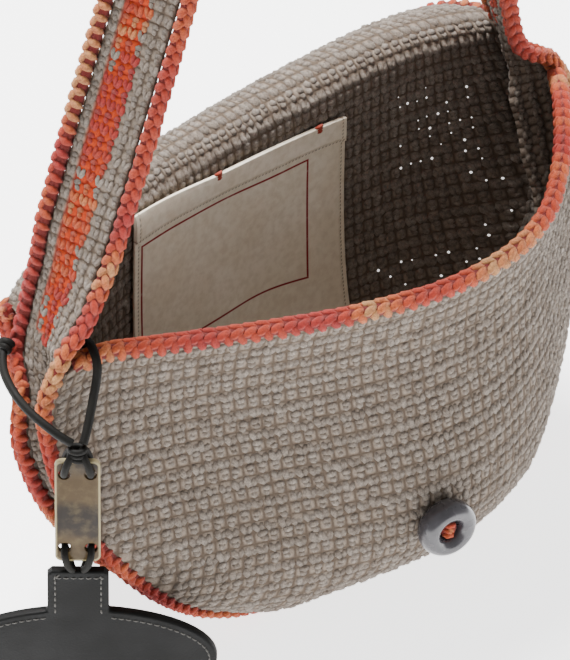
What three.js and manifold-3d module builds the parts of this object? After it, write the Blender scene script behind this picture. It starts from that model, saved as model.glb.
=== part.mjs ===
// A crochet half moon bag, standing open: a half moon front and back, one long band that is both
// gusset and shoulder strap, a flap thrown back over the rear edge, thick braided edgings, a canvas
// pocket inside the back, a ring bead on the front and a leather charm on a cord at the left corner.
// Millimetres. +X is the bag's right-hand end, the front faces -Y, +Z is up.
// The origin is the centre of the flat underside.
import * as THREE from 'three';
import { mergeVertices, mergeGeometries } from 'three/addons/utils/BufferGeometryUtils.js';
import Module from 'manifold-3d';

const wasm = await Module();
wasm.setup();

// Driving dimensions
const mouthHeight = 174; // height of the two corners where the strap leaves the mouth
const halfWidth = 172; // half the flat width of a half moon
const panelDepth = 232; // flat depth of a half moon at its middle
const flapLength = 180; // how far the flap hangs down from the fold, to just above the floor
const cloth = 4; // thickness of the crochet
const bandReach = 18; // from the middle of the band to the middle of its edging
const braid = 4.3; // radius of the braided edgings
const gap = 0.35; // between pieces that touch
const lean = 26; // how far the base stands in front of the strap's plane

// The band, from the middle of the base up the right side to the top of the strap.
// side: half the bag's width there, out: forward of the strap's plane,
// fold: how far it is folded inwards, turn: how far it is turned to the front, both in degrees,
// deep: how much wider than elsewhere the folded cloth is
const bandStations = [
  { side: 0, out: 26, up: 2, fold: 0, turn: 0 },
  { side: 30, out: 26, up: 2, fold: 0, turn: 0 },
  { side: 55, out: 26, up: 3, fold: 0, turn: 0 },
  { side: 83, out: 27, up: 15, fold: 8, turn: 0 },
  { side: 109, out: 28, up: 34, fold: 20, turn: 0 },
  { side: 133, out: 26, up: 61, fold: 36, turn: 0 },
  { side: 152, out: 19, up: 93, fold: 50, turn: 0 },
  { side: 160, out: 9, up: 127, fold: 54, turn: 0 },
  { side: 160, out: 3, up: 154, fold: 50, turn: 0 },
  { side: 151, out: 0, up: 178, fold: 30, turn: 3 },
  { side: 138, out: 0, up: 202, fold: 6, turn: 8 },
  { side: 124, out: 0, up: 232, fold: 0, turn: 16 },
  { side: 104, out: 0, up: 284, fold: 0, turn: 22 },
  { side: 80, out: 0, up: 346, fold: 0, turn: 24 },
  { side: 58, out: 0, up: 410, fold: 0, turn: 18 },
  { side: 40, out: 0, up: 472, fold: 0, turn: 9 },
  { side: 27, out: 0, up: 520, fold: 0, turn: 3 },
  { side: 11, out: 0, up: 547, fold: 0, turn: 0 },
];
const cornerStation = 8.8; // where along the stations the mouth's corners lie
// The left corner is twisted: its rear edge lies further in than its front edge
const leftCorner = [
  { station: 8, side: 157, out: 3.5, fold: 52, turn: -19 },
  { station: 9, side: 146.5, out: -1.8, fold: 14, turn: -18 },
  { station: 10, side: 135.5, out: 0, fold: 4, turn: 0 },
];
// The right corner flares: the strap stands steeper above it, and the gusset below it is folded deeper
const rightCorner = [
  { station: 6, side: 152, out: 19, fold: 50, turn: 0, deep: 1.25 },
  { station: 7, side: 160, out: 9, fold: 54, turn: 0, deep: 1.65 },
  { station: 8, side: 160, out: 3, fold: 50, turn: 0, deep: 1.75 },
  { station: 9, side: 151, out: 0, fold: 30, turn: 6, deep: 1.5 },
  { station: 10, side: 135, out: 0, fold: 6, turn: 24 },
  { station: 11, side: 128, out: 0, fold: 0, turn: 24 },
  { station: 12, side: 109, out: 0, fold: 0, turn: 25 },
];

// The mouth's front edge from corner to corner; above is from the mouth's height
const mouthEdge = [
  { side: -152, out: 15, above: -1 },
  { side: -133, out: 19, above: 2 },
  { side: -110, out: 30, above: 0 },
  { side: -68, out: 54, above: -2 },
  { side: -30, out: 75, above: -2 },
  { side: 10, out: 90, above: -2 },
  { side: 45, out: 94, above: -1 },
  { side: 77, out: 86, above: 0 },
  { side: 107, out: 65, above: 1 },
  { side: 134, out: 38, above: 2 },
  { side: 152, out: 15, above: -1 },
];

// The crest of the rounded fold where the back panel turns over and becomes the flap
const foldCrest = [
  { side: -143, out: -25, above: 4 },
  { side: -130, out: -29, above: 8 },
  { side: -104, out: -34, above: 18 },
  { side: -60, out: -40, above: 24 },
  { side: 0, out: -42, above: 23 },
  { side: 58, out: -39, above: 22 },
  { side: 100, out: -34, above: 20 },
  { side: 128, out: -29, above: 15 },
  { side: 144, out: -25, above: 10 },
  { side: 152, out: -23, above: 6 },
];
// The fold is tighter at its ends, and the flap's right corner stands off behind it
const foldRadius = { end: 9, mid: 13, rightCorner: 36 };
// How each panel swells between mouth and base, at its middle
const swell = { tuck: 30, belly: 113, toRight: 0.3, bellyUp: 28, back: 46, backUp: 40 };

const pocket = { left: -84, right: 63, drop: 31, depth: 136, tilt: 0.1, thick: 1.3, stand: 0.9 };
const bead = { across: -5, down: 143, ring: 9.2, hole: 4.6, high: 6.2 };
const plate = { side: -162.2, out: 36.2, up: 114.2, wide: 20, tall: 57, thick: 2.6, hole: 2.9, inset: 7.5, spread: 5.8 };
const fob = { wide: 118, tall: 54, thick: 5, neck: 27, up: 31, shift: 2 };
const cordRadius = 2;

const place = (side, out, up) => new THREE.Vector3(side, lean - out, up);
const atMouth = (m) => place(m.side, m.out, mouthHeight + m.above);
const mix = (a, b, t) => a + (b - a) * t;
const rad = THREE.MathUtils.degToRad;
const evenly = (count, from, to) => Array.from({ length: count + 1 }, (_, i) => mix(from, to, i / count));

// Meshes
function closed(positions, faces) {
  const g = new THREE.BufferGeometry();
  g.setAttribute('position', new THREE.Float32BufferAttribute(positions.flatMap((v) => v.toArray()), 3));
  g.setIndex(faces.flat());
  return g;
}

function bare(geometry) {
  for (const name of ['normal', 'uv']) geometry.deleteAttribute(name);
  return mergeVertices(geometry, 1e-4);
}

function solid(geometry) {
  const g = bare(geometry);
  const vertProperties = new Float32Array(g.attributes.position.array);
  const triVerts = new Uint32Array(g.index.array);
  return new wasm.Manifold(new wasm.Mesh({ numProp: 3, vertProperties, triVerts }));
}

function fromSolid(manifold) {
  const mesh = manifold.getMesh();
  const g = new THREE.BufferGeometry();
  g.setAttribute('position', new THREE.BufferAttribute(new Float32Array(mesh.vertProperties), 3));
  g.setIndex(new THREE.BufferAttribute(new Uint32Array(mesh.triVerts), 1));
  return g;
}

function facingOut(geometry) {
  const at = geometry.attributes.position;
  const index = geometry.index.array;
  const [a, b, c] = [0, 1, 2].map(() => new THREE.Vector3());
  let volume = 0;
  for (let i = 0; i < index.length; i += 3) {
    [a, b, c].forEach((v, k) => v.fromBufferAttribute(at, index[i + k]));
    volume += a.dot(b.clone().cross(c));
  }
  if (volume < 0) {
    for (let i = 0; i < index.length; i += 3) [index[i], index[i + 1]] = [index[i + 1], index[i]];
  }
  return geometry;
}

// A cloth of even thickness on a grid of points, columns of equal length
function clothOn(columns, thick, offset = 0) {
  const wide = columns.length;
  const tall = columns[0].length;
  const point = (i, j) => columns[Math.min(Math.max(i, 0), wide - 1)][Math.min(Math.max(j, 0), tall - 1)];
  const sides = [offset + thick / 2, offset - thick / 2].map((away) => {
    const layer = [];
    for (let i = 0; i < wide; i++) {
      for (let j = 0; j < tall; j++) {
        const across = point(i + 1, j).clone().sub(point(i - 1, j));
        const down = point(i, j + 1).clone().sub(point(i, j - 1));
        const normal = across.cross(down).normalize();
        layer.push(point(i, j).clone().addScaledVector(normal, away));
      }
    }
    return layer;
  });
  const at = (side, i, j) => side * wide * tall + i * tall + j;
  const faces = [];
  const quad = (a, b, c, d) => faces.push([a, b, c], [a, c, d]);
  for (let i = 0; i < wide - 1; i++) {
    for (let j = 0; j < tall - 1; j++) {
      quad(at(0, i, j), at(0, i + 1, j), at(0, i + 1, j + 1), at(0, i, j + 1));
      quad(at(1, i, j + 1), at(1, i + 1, j + 1), at(1, i + 1, j), at(1, i, j));
    }
    quad(at(1, i, 0), at(1, i + 1, 0), at(0, i + 1, 0), at(0, i, 0));
    quad(at(0, i, tall - 1), at(0, i + 1, tall - 1), at(1, i + 1, tall - 1), at(1, i, tall - 1));
  }
  for (let j = 0; j < tall - 1; j++) {
    quad(at(0, 0, j), at(0, 0, j + 1), at(1, 0, j + 1), at(1, 0, j));
    quad(at(1, wide - 1, j), at(1, wide - 1, j + 1), at(0, wide - 1, j + 1), at(0, wide - 1, j));
  }
  return facingOut(closed(sides.flat(), faces));
}

// A closed ring of equal sections, each a closed loop of points
function ringOf(sections) {
  const round = sections[0].length;
  const faces = [];
  sections.forEach((_, i) => {
    const next = (i + 1) % sections.length;
    for (let j = 0; j < round; j++) {
      const k = (j + 1) % round;
      const [a, b, c, d] = [i * round + j, next * round + j, next * round + k, i * round + k];
      faces.push([a, b, c], [a, c, d]);
    }
  });
  return facingOut(closed(sections.flat(), faces));
}

function roundSection(radius, sides) {
  const turn = (k) => (2 * Math.PI * k) / sides;
  return new THREE.Shape(
    Array.from({ length: sides }, (_, k) => new THREE.Vector2(Math.cos(turn(k)), Math.sin(turn(k))).multiplyScalar(radius)),
  );
}

function tube(points, radius, sides, steps) {
  const extrudePath = new THREE.CatmullRomCurve3(points, false, 'centripetal');
  return facingOut(bare(new THREE.ExtrudeGeometry(roundSection(radius, sides), { steps, extrudePath })));
}

function closedTube(points, radius, sides, steps) {
  const path = new THREE.CatmullRomCurve3(points, true, 'centripetal');
  return facingOut(bare(new THREE.TubeGeometry(path, steps, radius, sides, true)));
}

// The band
const sideOf = (corner, way) => bandStations.map((s, i) => ({ ...s, ...corner.find((c) => c.station === i), way }));
const rightSide = sideOf(rightCorner, 1);
const leftSide = sideOf(leftCorner, -1);
const stations = [...rightSide, ...leftSide.slice(1).reverse()];
const bandCurve = new THREE.CatmullRomCurve3(
  stations.map((s) => place(s.way * s.side, s.out, s.up)), true, 'centripetal',
);

function bandAt(t) {
  const at = (((t % 1) + 1) % 1) * stations.length;
  const [from, to] = [stations[Math.floor(at) % stations.length], stations[(Math.floor(at) + 1) % stations.length]];
  const part = at - Math.floor(at);
  const ease = part * part * (3 - 2 * part);
  const middle = bandCurve.getPoint(((t % 1) + 1) % 1);
  const along = bandCurve.getTangent(((t % 1) + 1) % 1);
  const turn = rad(mix(from.way * from.turn, to.way * to.turn, ease));
  const forward = new THREE.Vector3(-Math.sin(turn), -Math.cos(turn), 0);
  forward.addScaledVector(along, -forward.dot(along)).normalize();
  const inward = forward.clone().cross(along);
  const folded = rad(mix(from.fold, to.fold, ease));
  const deep = 0.92 * mix(from.deep ?? 1, to.deep ?? 1, ease);
  const across = (c) => middle.clone()
    .addScaledVector(forward, c * Math.cos(folded))
    .addScaledVector(inward, (bandReach - Math.abs(c)) * Math.sin(folded) * deep);
  return { middle, forward, inward, folded, across };
}

function bandSection(t) {
  const edge = bandReach - braid - gap - 0.6;
  const frame = bandAt(t);
  const points = [-edge, -edge / 2, 0, edge / 2, edge].map(frame.across);
  const tangent = (i) => points[Math.min(i + 1, 4)].clone().sub(points[Math.max(i - 1, 0)]).normalize();
  const along = bandCurve.getTangent(((t % 1) + 1) % 1);
  const normals = points.map((_, i) => tangent(i).cross(along));
  const layer = (away) => points.map((p, i) => p.clone().addScaledVector(normals[i], away));
  return [...layer(cloth / 2), ...layer(-cloth / 2).reverse()];
}

const bandSteps = Array.from({ length: 84 }, (_, i) => i / 84);
// The edging lies a little above the base, so that the band's flat underside is what stands
function edgePoint(t, way) {
  const point = bandAt(t).across(way * bandReach);
  point.z = Math.max(point.z, braid + 0.1);
  return point;
}
const bandEdge = (way) => bandSteps.map((t) => edgePoint(t, way));

// The seams run round the half moon from the left corner, under the base, to the right corner
function measured(points) {
  const reach = [0];
  points.slice(1).forEach((p, i) => reach.push(reach[i] + p.distanceTo(points[i])));
  const total = reach.at(-1);
  return (share) => {
    const goal = THREE.MathUtils.clamp(share, 0, 1) * total;
    const i = Math.max(1, reach.findIndex((r) => r >= goal));
    const part = (goal - reach[i - 1]) / (reach[i] - reach[i - 1]);
    return points[i - 1].clone().lerp(points[i], part);
  };
}
const cornerShare = cornerStation / stations.length;
const seamSteps = Array.from({ length: 161 }, (_, i) => mix(-cornerShare, cornerShare, i / 160));
const seamPoints = (way) => seamSteps.map((t) => edgePoint(t, way));
const [frontSeamPoints, backSeamPoints] = [seamPoints(1), seamPoints(-1)];
// The rear edging further up the strap too, which the fold's ends have to clear
const backEdgePoints = evenly(200, -1.35 * cornerShare, 1.35 * cornerShare).map((t) => edgePoint(t, -1));
const frontSeam = measured(frontSeamPoints);
const backSeam = measured(backSeamPoints);

// Flat half moon: p across from the middle, q down from the mouth
const halfMoonRim = Array.from({ length: 181 }, (_, i) => {
  const turn = Math.PI * (1 - i / 180);
  return new THREE.Vector3(halfWidth * Math.cos(turn), panelDepth * Math.sin(turn), 0);
});
const rimReach = [0];
halfMoonRim.slice(1).forEach((p, i) => rimReach.push(rimReach[i] + p.distanceTo(halfMoonRim[i])));
function seamShare(p) {
  const at = 180 * (1 - Math.acos(THREE.MathUtils.clamp(p / halfWidth, -1, 1)) / Math.PI);
  const i = Math.min(Math.floor(at), 179);
  return mix(rimReach[i], rimReach[i + 1], at - i) / rimReach.at(-1);
}
const middling = (p) => Math.max(0, 1 - (p / halfWidth) ** 2);
const depthAt = (p) => panelDepth * Math.sqrt(middling(p));

function bezier(a, b, c, d, t) {
  const s = 1 - t;
  return a.clone().multiplyScalar(s ** 3)
    .addScaledVector(b, 3 * s * s * t).addScaledVector(c, 3 * s * t * t).addScaledVector(d, t ** 3);
}

const curvePoints = (rows) => new THREE.CatmullRomCurve3(rows.map(atMouth), false, 'centripetal').getPoints(160);
const mouthPoints = curvePoints(mouthEdge);
const mouthCurve = measured(mouthPoints);
const crestCurve = measured(curvePoints(foldCrest));
const alongWidth = (p) => (p / halfWidth + 1) / 2;

// A column's two middle control points move out to the side near the corners, where the seam is steep
function spreadSideways(p, top, upper, lower, foot) {
  const steep = Math.abs(p / halfWidth) ** 6;
  upper.x = mix(top.x, foot.x, mix(0.3, 0.95, steep));
  lower.x = mix(top.x, foot.x, mix(0.7, 1, steep));
}

const bellyAt = (p) => swell.belly * middling(p) ** 2 * (1 + (swell.toRight * p) / halfWidth);

function frontPoint(p, q) {
  const [top, foot] = [mouthCurve(alongWidth(p)), frontSeam(seamShare(p))];
  const full = middling(p);
  const drop = top.z - foot.z;
  const upper = top.clone().add(new THREE.Vector3(0, swell.tuck * full, -0.38 * drop));
  const lower = foot.clone().add(
    new THREE.Vector3(0, -bellyAt(p), swell.bellyUp * full + 0.12 * drop * (1 - full)),
  );
  spreadSideways(p, top, upper, lower, foot);
  return bezier(top, upper, lower, foot, q / depthAt(p));
}

// The back: q is 0 at the top of the fold, grows down the inside and is negative on the flap
const wallRadius = (p) => mix(foldRadius.end, foldRadius.mid, middling(p));
const flapRadius = (p) => wallRadius(p) + foldRadius.rightCorner * alongWidth(p) ** 7;
const wallTurn = (p) => (wallRadius(p) * Math.PI) / 2;
const flapTurn = (p) => (flapRadius(p) * Math.PI) / 2;

function turnedOver(crest, radius, angle, way) {
  const back = radius * Math.sin(angle);
  return crest.clone().add(new THREE.Vector3(0, way * back, -radius * (1 - Math.cos(angle))));
}

function backPoint(p, q) {
  const crest = crestCurve(alongWidth(p));
  if (q < 0) {
    const radius = flapRadius(p);
    const gathered = 0.0005 * -q + 0.06 * (1 - Math.exp(q / 25));
    const point = turnedOver(crest, radius, Math.min(-q / radius, Math.PI / 2), 1);
    const hang = Math.max(0, -q - flapTurn(p));
    return point.add(new THREE.Vector3(-crest.x * gathered, 0.05 * hang, -hang));
  }
  if (q <= wallTurn(p)) return turnedOver(crest, wallRadius(p), q / wallRadius(p), -1);
  const full = middling(p);
  const top = turnedOver(crest, wallRadius(p), Math.PI / 2, -1);
  const foot = backSeam(seamShare(p));
  const drop = top.z - foot.z;
  const upper = top.clone().add(new THREE.Vector3(0, 0, -0.35 * drop));
  const lower = foot.clone().add(
    new THREE.Vector3(0, swell.back * full, swell.backUp * full + 0.3 * drop * (1 - full)),
  );
  spreadSideways(p, top, upper, lower, foot);
  return bezier(top, upper, lower, foot, (q - wallTurn(p)) / wallLength(p));
}
const wallLength = (p) => depthAt(p) + 2;

function frameOn(surface, p, q) {
  const step = 0.5;
  const along = surface(p + step, q).sub(surface(p - step, q));
  const down = surface(p, q + step).sub(surface(p, q - step));
  return { point: surface(p, q), normal: along.cross(down).normalize() };
}

// Whether cloth on the surface at p, q would come too near to an edging's middle line
function nearTo(edging, surface, p, q) {
  const { point, normal } = frameOn(surface, p, q);
  return [-1, 0, 1].some((face) => {
    const at = point.clone().addScaledVector(normal, (face * cloth) / 2);
    return edging.some((e) => e.distanceTo(at) < braid + gap + 0.4);
  });
}

// The first q from start towards end at which the cloth clears its edging
function clearDown(edging, surface, p, start, end) {
  return evenly(90, start, end).find((q) => !nearTo(edging, surface, p, q)) ?? end;
}

// How far the outermost column has to stay in from the side at q
function clearIn(edging, surface, way, q) {
  const reach = evenly(28, 0, 14).find((inward) => !nearTo(edging, surface, way * (widest - inward), q));
  return reach ?? 14;
}

const widest = halfWidth - 4;
const columnsAcross = (count) => evenly(count, Math.PI, 0).map((turn) => widest * Math.cos(turn));

// A grid on the surface whose outer columns keep clear of the edging
function gridOn(surface, edging, columns) {
  return columns.map(({ p, rows }) => rows.map((q) => {
    const outer = Math.abs(p / widest) ** 12;
    if (outer < 0.05) return surface(p, q);
    const way = Math.sign(p);
    return surface(p - way * outer * clearIn(edging, surface, way, q), q);
  }));
}

function frontPanel() {
  const columns = columnsAcross(26).map((p) => {
    const top = clearDown(mouthPoints, frontPoint, p, 0, depthAt(p) / 2);
    const foot = clearDown(frontSeamPoints, frontPoint, p, depthAt(p), depthAt(p) / 2);
    return { p, rows: evenly(14, top, foot) };
  });
  return clothOn(gridOn(frontPoint, frontSeamPoints, columns), cloth);
}

const flapRim = (p) => -wallTurn(p) - flapLength * Math.sqrt(middling(p));
const flapRimPoints = [
  ...evenly(40, 2, flapRim(halfWidth)).map((q) => backPoint(-halfWidth, q)),
  ...evenly(240, Math.PI, 0).map((turn) => halfWidth * Math.cos(turn)).map((p) => backPoint(p, flapRim(p))),
  ...evenly(40, flapRim(halfWidth), 2).map((q) => backPoint(halfWidth, q)),
];

function backPanel() {
  const columns = columnsAcross(26).map((p) => {
    const over = wallTurn(p);
    const tip = clearDown(flapRimPoints, backPoint, p, flapRim(p), -over);
    const foot = clearDown(backSeamPoints, backPoint, p, over + wallLength(p), over + 1);
    const bend = Math.max(-flapTurn(p), tip * 0.7);
    const hang = evenly(6, tip, bend);
    const roll = [...evenly(3, bend, 0), ...evenly(3, 0, over).slice(1)];
    const wall = evenly(10, over, foot);
    return { p, rows: [...hang, ...roll.slice(1), ...wall.slice(1)] };
  });
  return clothOn(gridOn(backPoint, [...backEdgePoints, ...flapRimPoints], columns), cloth);
}

// The flap's edging starts where it clears the strap's rear edging
function flapEdging() {
  const clear = (point) => backEdgePoints.every((e) => e.distanceTo(point) > 2 * braid + gap + 0.2);
  const rim = flapRimPoints.filter(clear).filter((_, i, all) => i % 8 === 0 || i === all.length - 1);
  return tube(rim, braid, 6, 56);
}

function mouthEdging() {
  const shares = evenly(24, 0.028, 0.972);
  return tube(shares.map((s) => mouthCurve(s)), braid, 6, 34);
}

function pocketPanel() {
  const columns = evenly(10, pocket.left, pocket.right).map((p) => {
    const top = pocket.drop + pocket.tilt * p;
    return evenly(8, top, top + pocket.depth).map((q) => backPoint(p, q));
  });
  return clothOn(columns, pocket.thick, -cloth / 2 - pocket.stand - pocket.thick / 2);
}

function onFront(geometry) {
  const { point, normal } = frameOn(frontPoint, bead.across, bead.down);
  normal.negate();
  const turn = new THREE.Quaternion().setFromUnitVectors(new THREE.Vector3(0, 1, 0), normal);
  const at = point.addScaledVector(normal, cloth / 2 + gap + 0.1);
  return geometry.applyMatrix4(new THREE.Matrix4().compose(at, turn, new THREE.Vector3(1, 1, 1)));
}

function beadRing() {
  const profile = evenly(12, 0, 2 * Math.PI).map((a) => new THREE.Vector2(
    bead.ring + (bead.ring - bead.hole) * Math.cos(a), bead.high * (1 - Math.cos(a + Math.PI / 2)),
  ));
  return facingOut(bare(onFront(new THREE.LatheGeometry(profile, 24))));
}

function beadTie() {
  const r = bead.hole - gap - 0.25;
  const top = bead.high * 2 - 2.4;
  const profile = [[0, 0.1], [r, 0.1], [r, top - 2], [r * 0.75, top - 0.5], [0, top]];
  return facingOut(bare(onFront(new THREE.LatheGeometry(profile.map((c) => new THREE.Vector2(...c)), 12))));
}

// The charm hangs in an upright plane that faces the front left
function charmPlane(geometry, up, away = 0) {
  const facing = new THREE.Vector3(-1, -1, 0).normalize();
  const at = place(plate.side, plate.out, up).addScaledVector(facing, away);
  const axes = new THREE.Matrix4().makeBasis(new THREE.Vector3(1, -1, 0).normalize(), new THREE.Vector3(0, 0, 1), facing);
  return geometry.applyMatrix4(axes.setPosition(at));
}

function roundedRectangle(wide, tall, corner) {
  const [x, y] = [wide / 2, tall / 2];
  const s = new THREE.Shape();
  s.moveTo(-x + corner, -y);
  s.lineTo(x - corner, -y).absarc(x - corner, -y + corner, corner, -Math.PI / 2, 0);
  s.lineTo(x, y - corner).absarc(x - corner, y - corner, corner, 0, Math.PI / 2);
  s.lineTo(-x + corner, y).absarc(-x + corner, y - corner, corner, Math.PI / 2, Math.PI);
  s.lineTo(-x, -y + corner).absarc(-x + corner, -y + corner, corner, Math.PI, 1.5 * Math.PI);
  return s;
}

function slab(shape, thick, curveSegments = 8) {
  return new THREE.ExtrudeGeometry(shape, { depth: thick, bevelEnabled: false, curveSegments })
    .translate(0, 0, -thick / 2);
}

const holeUp = plate.tall / 2 - plate.inset;

function charmPlate() {
  const shape = roundedRectangle(plate.wide, plate.tall, 3.2);
  for (const [x, y] of [[-1, 1], [1, 1], [-1, -1], [1, -1]]) {
    const hole = new THREE.Path();
    hole.absarc(x * plate.spread, y * holeUp, plate.hole, 0, 2 * Math.PI, true);
    shape.holes.push(hole);
  }
  return facingOut(bare(charmPlane(slab(shape, plate.thick, 5), plate.up)));
}

// A strand that goes through a hole of the plate and round its end
function strand(side, end, radius, reach) {
  const hole = end * holeUp;
  const beyond = end * (plate.tall / 2 + reach);
  const away = plate.thick / 2 + radius + 0.7;
  const points = [
    [side * plate.spread, hole, 0], [side * plate.spread, hole + end * 2.4, away],
    [side * plate.spread * 0.8, end * plate.tall / 2, away + 0.3], [side * 2.6, beyond, away * 0.4],
    [side * 2.6, beyond + end, -away * 0.4], [side * plate.spread * 0.8, end * plate.tall / 2, -away - 0.3],
    [side * plate.spread, hole + end * 2.4, -away],
  ].map(([x, y, z]) => new THREE.Vector3(x, y, z));
  return solid(closedTube(points, radius, 8, 22));
}

function hitch() {
  const knotUp = plate.tall / 2 + 4;
  const knot = new THREE.CylinderGeometry(4.6, 4.6, 6.4, 12).translate(0, knotUp, 0);
  const whole = [-1, 1].reduce((sum, side) => sum.add(strand(side, 1, 1.7, 4)), solid(knot));
  return facingOut(charmPlane(fromSolid(whole), plate.up));
}

function charmFob() {
  const neckUp = plate.up - plate.tall / 2 - 5.5;
  const shape = new THREE.Shape();
  const [wide, high] = [fob.wide / 2, fob.tall / 2];
  const turnTo = (x) => Math.acos((x - fob.shift) / wide);
  const [left, right] = [-fob.neck / 2, fob.neck / 2];
  const neckTop = neckUp - fob.up;
  shape.moveTo(left, neckTop);
  shape.lineTo(left, high * Math.sin(turnTo(left)));
  shape.absellipse(fob.shift, 0, wide, high, turnTo(left), 2 * Math.PI + turnTo(right), false, 0);
  shape.lineTo(right, neckTop);
  const leather = solid(slab(shape, fob.thick, 14).translate(0, fob.up - plate.up, 0));
  const whole = [-1, 1].reduce((sum, side) => sum.add(strand(side, -1, 1.6, 5)), leather);
  return facingOut(charmPlane(fromSolid(whole), plate.up));
}

// The charm's cord, from the rear corner of the mouth and from its front edge down to the hitch
const cordLeft = [
  [-151.1, -19.6, 170], [-155.6, -17.4, 167.6], [-161.5, -11, 165.6], [-166, -2.6, 164.6],
  [-169, 6, 163.6], [-170, 14.5, 161.6], [-169, 23, 158.6], [-166.6, 30, 155],
  [-163.8, 34.6, 152.1],
];
const cordRight = [
  [-132.6, 9.8, 175.4], [-134, 12.2, 180], [-136.2, 17.6, 182.4], [-138.4, 22.6, 181.2],
  [-140.6, 26.6, 178], [-143.4, 28.8, 172], [-147.4, 31, 166], [-152.6, 34, 159.8],
  [-157.6, 36.8, 154.6], [-160.3, 38, 151.8],
];
const cordTube = (route, steps) => tube(route.map((c) => place(...c)), cordRadius, 8, steps);

// Finishes
const finish = (color, roughness, metalness = 0) => new THREE.MeshStandardMaterial({ color, roughness, metalness });
const greyYarn = finish(0x9a9187, 0.95);
const coralYarn = finish(0xc9624a, 0.9);
const canvas = finish(0xc4b8a4, 0.9);
const glass = finish(0x86858a, 0.15);
const horn = finish(0x8f8260, 0.4);
const leather = finish(0x2f2e2d, 0.55);

const pieces = [
  ['front_panel', frontPanel(), greyYarn],
  ['back_panel_flap', backPanel(), greyYarn],
  ['gusset_strap', ringOf(bandSteps.map(bandSection)), greyYarn],
  ['front_edging', closedTube(bandEdge(1), braid, 6, 120), coralYarn],
  ['rear_edging', closedTube(bandEdge(-1), braid, 6, 120), coralYarn],
  ['mouth_edging', mouthEdging(), coralYarn],
  ['flap_edging', flapEdging(), coralYarn],
  ['pocket', pocketPanel(), canvas],
  ['button_bead', beadRing(), glass],
  ['button_tie', beadTie(), coralYarn],
  ['charm_plate', charmPlate(), horn],
  ['charm_hitch', hitch(), leather],
  ['charm_fob', charmFob(), leather],
  ['charm_cord_left', cordTube(cordLeft, 16), leather],
  ['charm_cord_right', cordTube(cordRight, 12), leather],
];

const bag = new THREE.Group();
for (const [name, geometry, material] of pieces) {
  const mesh = new THREE.Mesh(geometry, material);
  mesh.name = name;
  bag.add(mesh);
}

export default bag;
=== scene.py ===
import math
import bpy
import numpy as np
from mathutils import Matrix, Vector


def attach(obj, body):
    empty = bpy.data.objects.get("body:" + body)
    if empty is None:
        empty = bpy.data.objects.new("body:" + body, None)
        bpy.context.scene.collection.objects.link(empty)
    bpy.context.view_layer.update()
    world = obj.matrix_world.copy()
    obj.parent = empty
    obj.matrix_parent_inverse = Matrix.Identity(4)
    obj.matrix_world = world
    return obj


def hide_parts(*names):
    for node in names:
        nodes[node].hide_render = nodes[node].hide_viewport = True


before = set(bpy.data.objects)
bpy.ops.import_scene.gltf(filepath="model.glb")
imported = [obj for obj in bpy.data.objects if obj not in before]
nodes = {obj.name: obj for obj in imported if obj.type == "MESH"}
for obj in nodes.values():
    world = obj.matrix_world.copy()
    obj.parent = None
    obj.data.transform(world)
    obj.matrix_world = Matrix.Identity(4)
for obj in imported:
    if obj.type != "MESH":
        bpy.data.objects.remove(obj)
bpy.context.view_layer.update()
bpy.ops.object.select_all(action="DESELECT")
random = np.random.default_rng(7)

# Camera: at the front left, looking down into the open mouth
view = {"azimuth": -44.3, "elevation": 40.0, "away": 12.0, "lens": 1480, "aim": (0.0, 0.026, 0.1001)}
turn, tip = math.radians(view["azimuth"]), math.radians(view["elevation"])
back = Vector((math.sin(turn) * math.cos(tip), -math.cos(turn) * math.cos(tip), math.sin(tip)))
bpy.ops.object.camera_add(location=Vector(view["aim"]) + back * view["away"])
camera = bpy.context.object
camera.rotation_mode = "QUATERNION"
camera.rotation_quaternion = (-back).to_track_quat("-Z", "Y")
camera.data.lens = view["lens"]
camera.data.clip_start, camera.data.clip_end = 0.1, 30
bpy.context.scene.camera = camera


# Materials

def rgb(red, green, blue):
    # a colour as a screen shows it, 0 to 255, as Blender's linear one
    line = [c / 255 for c in (red, green, blue)]
    return [c / 12.92 if c <= 0.04045 else ((c + 0.055) / 1.055) ** 2.4 for c in line] + [1.0]


class Value:
    # a number that changes over a surface; expressions on it add Math nodes
    def __init__(self, paint, socket):
        self.paint, self.socket = paint, socket

    def math(self, operation, *others):
        return self.paint.node("ShaderNodeMath", {"operation": operation}, dict(enumerate((self, *others))))

    def __add__(self, other):
        return self.math("ADD", other)

    def __mul__(self, other):
        return self.math("MULTIPLY", other)

    __radd__, __rmul__ = __add__, __mul__

    def __sub__(self, other):
        return self.math("SUBTRACT", other)

    def __rsub__(self, other):
        return (self * -1.0) + other

    def __truediv__(self, other):
        return self.math("DIVIDE", other)

    def __pow__(self, other):
        return self.math("POWER", other)

    def size(self):
        return self.math("ABSOLUTE")

    def sine(self):
        return self.math("SINE")

    def within(self):
        return self.math("FRACT")

    def least(self, other):
        return self.math("MINIMUM", other)

    def most(self, other):
        return self.math("MAXIMUM", other)

    def between(self, low, high, start=0.0, end=1.0):
        return self.paint.node(
            "ShaderNodeMapRange", {"interpolation_type": "SMOOTHSTEP"},
            {0: self, 1: low, 2: high, 3: start, 4: end},
        )


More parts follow.
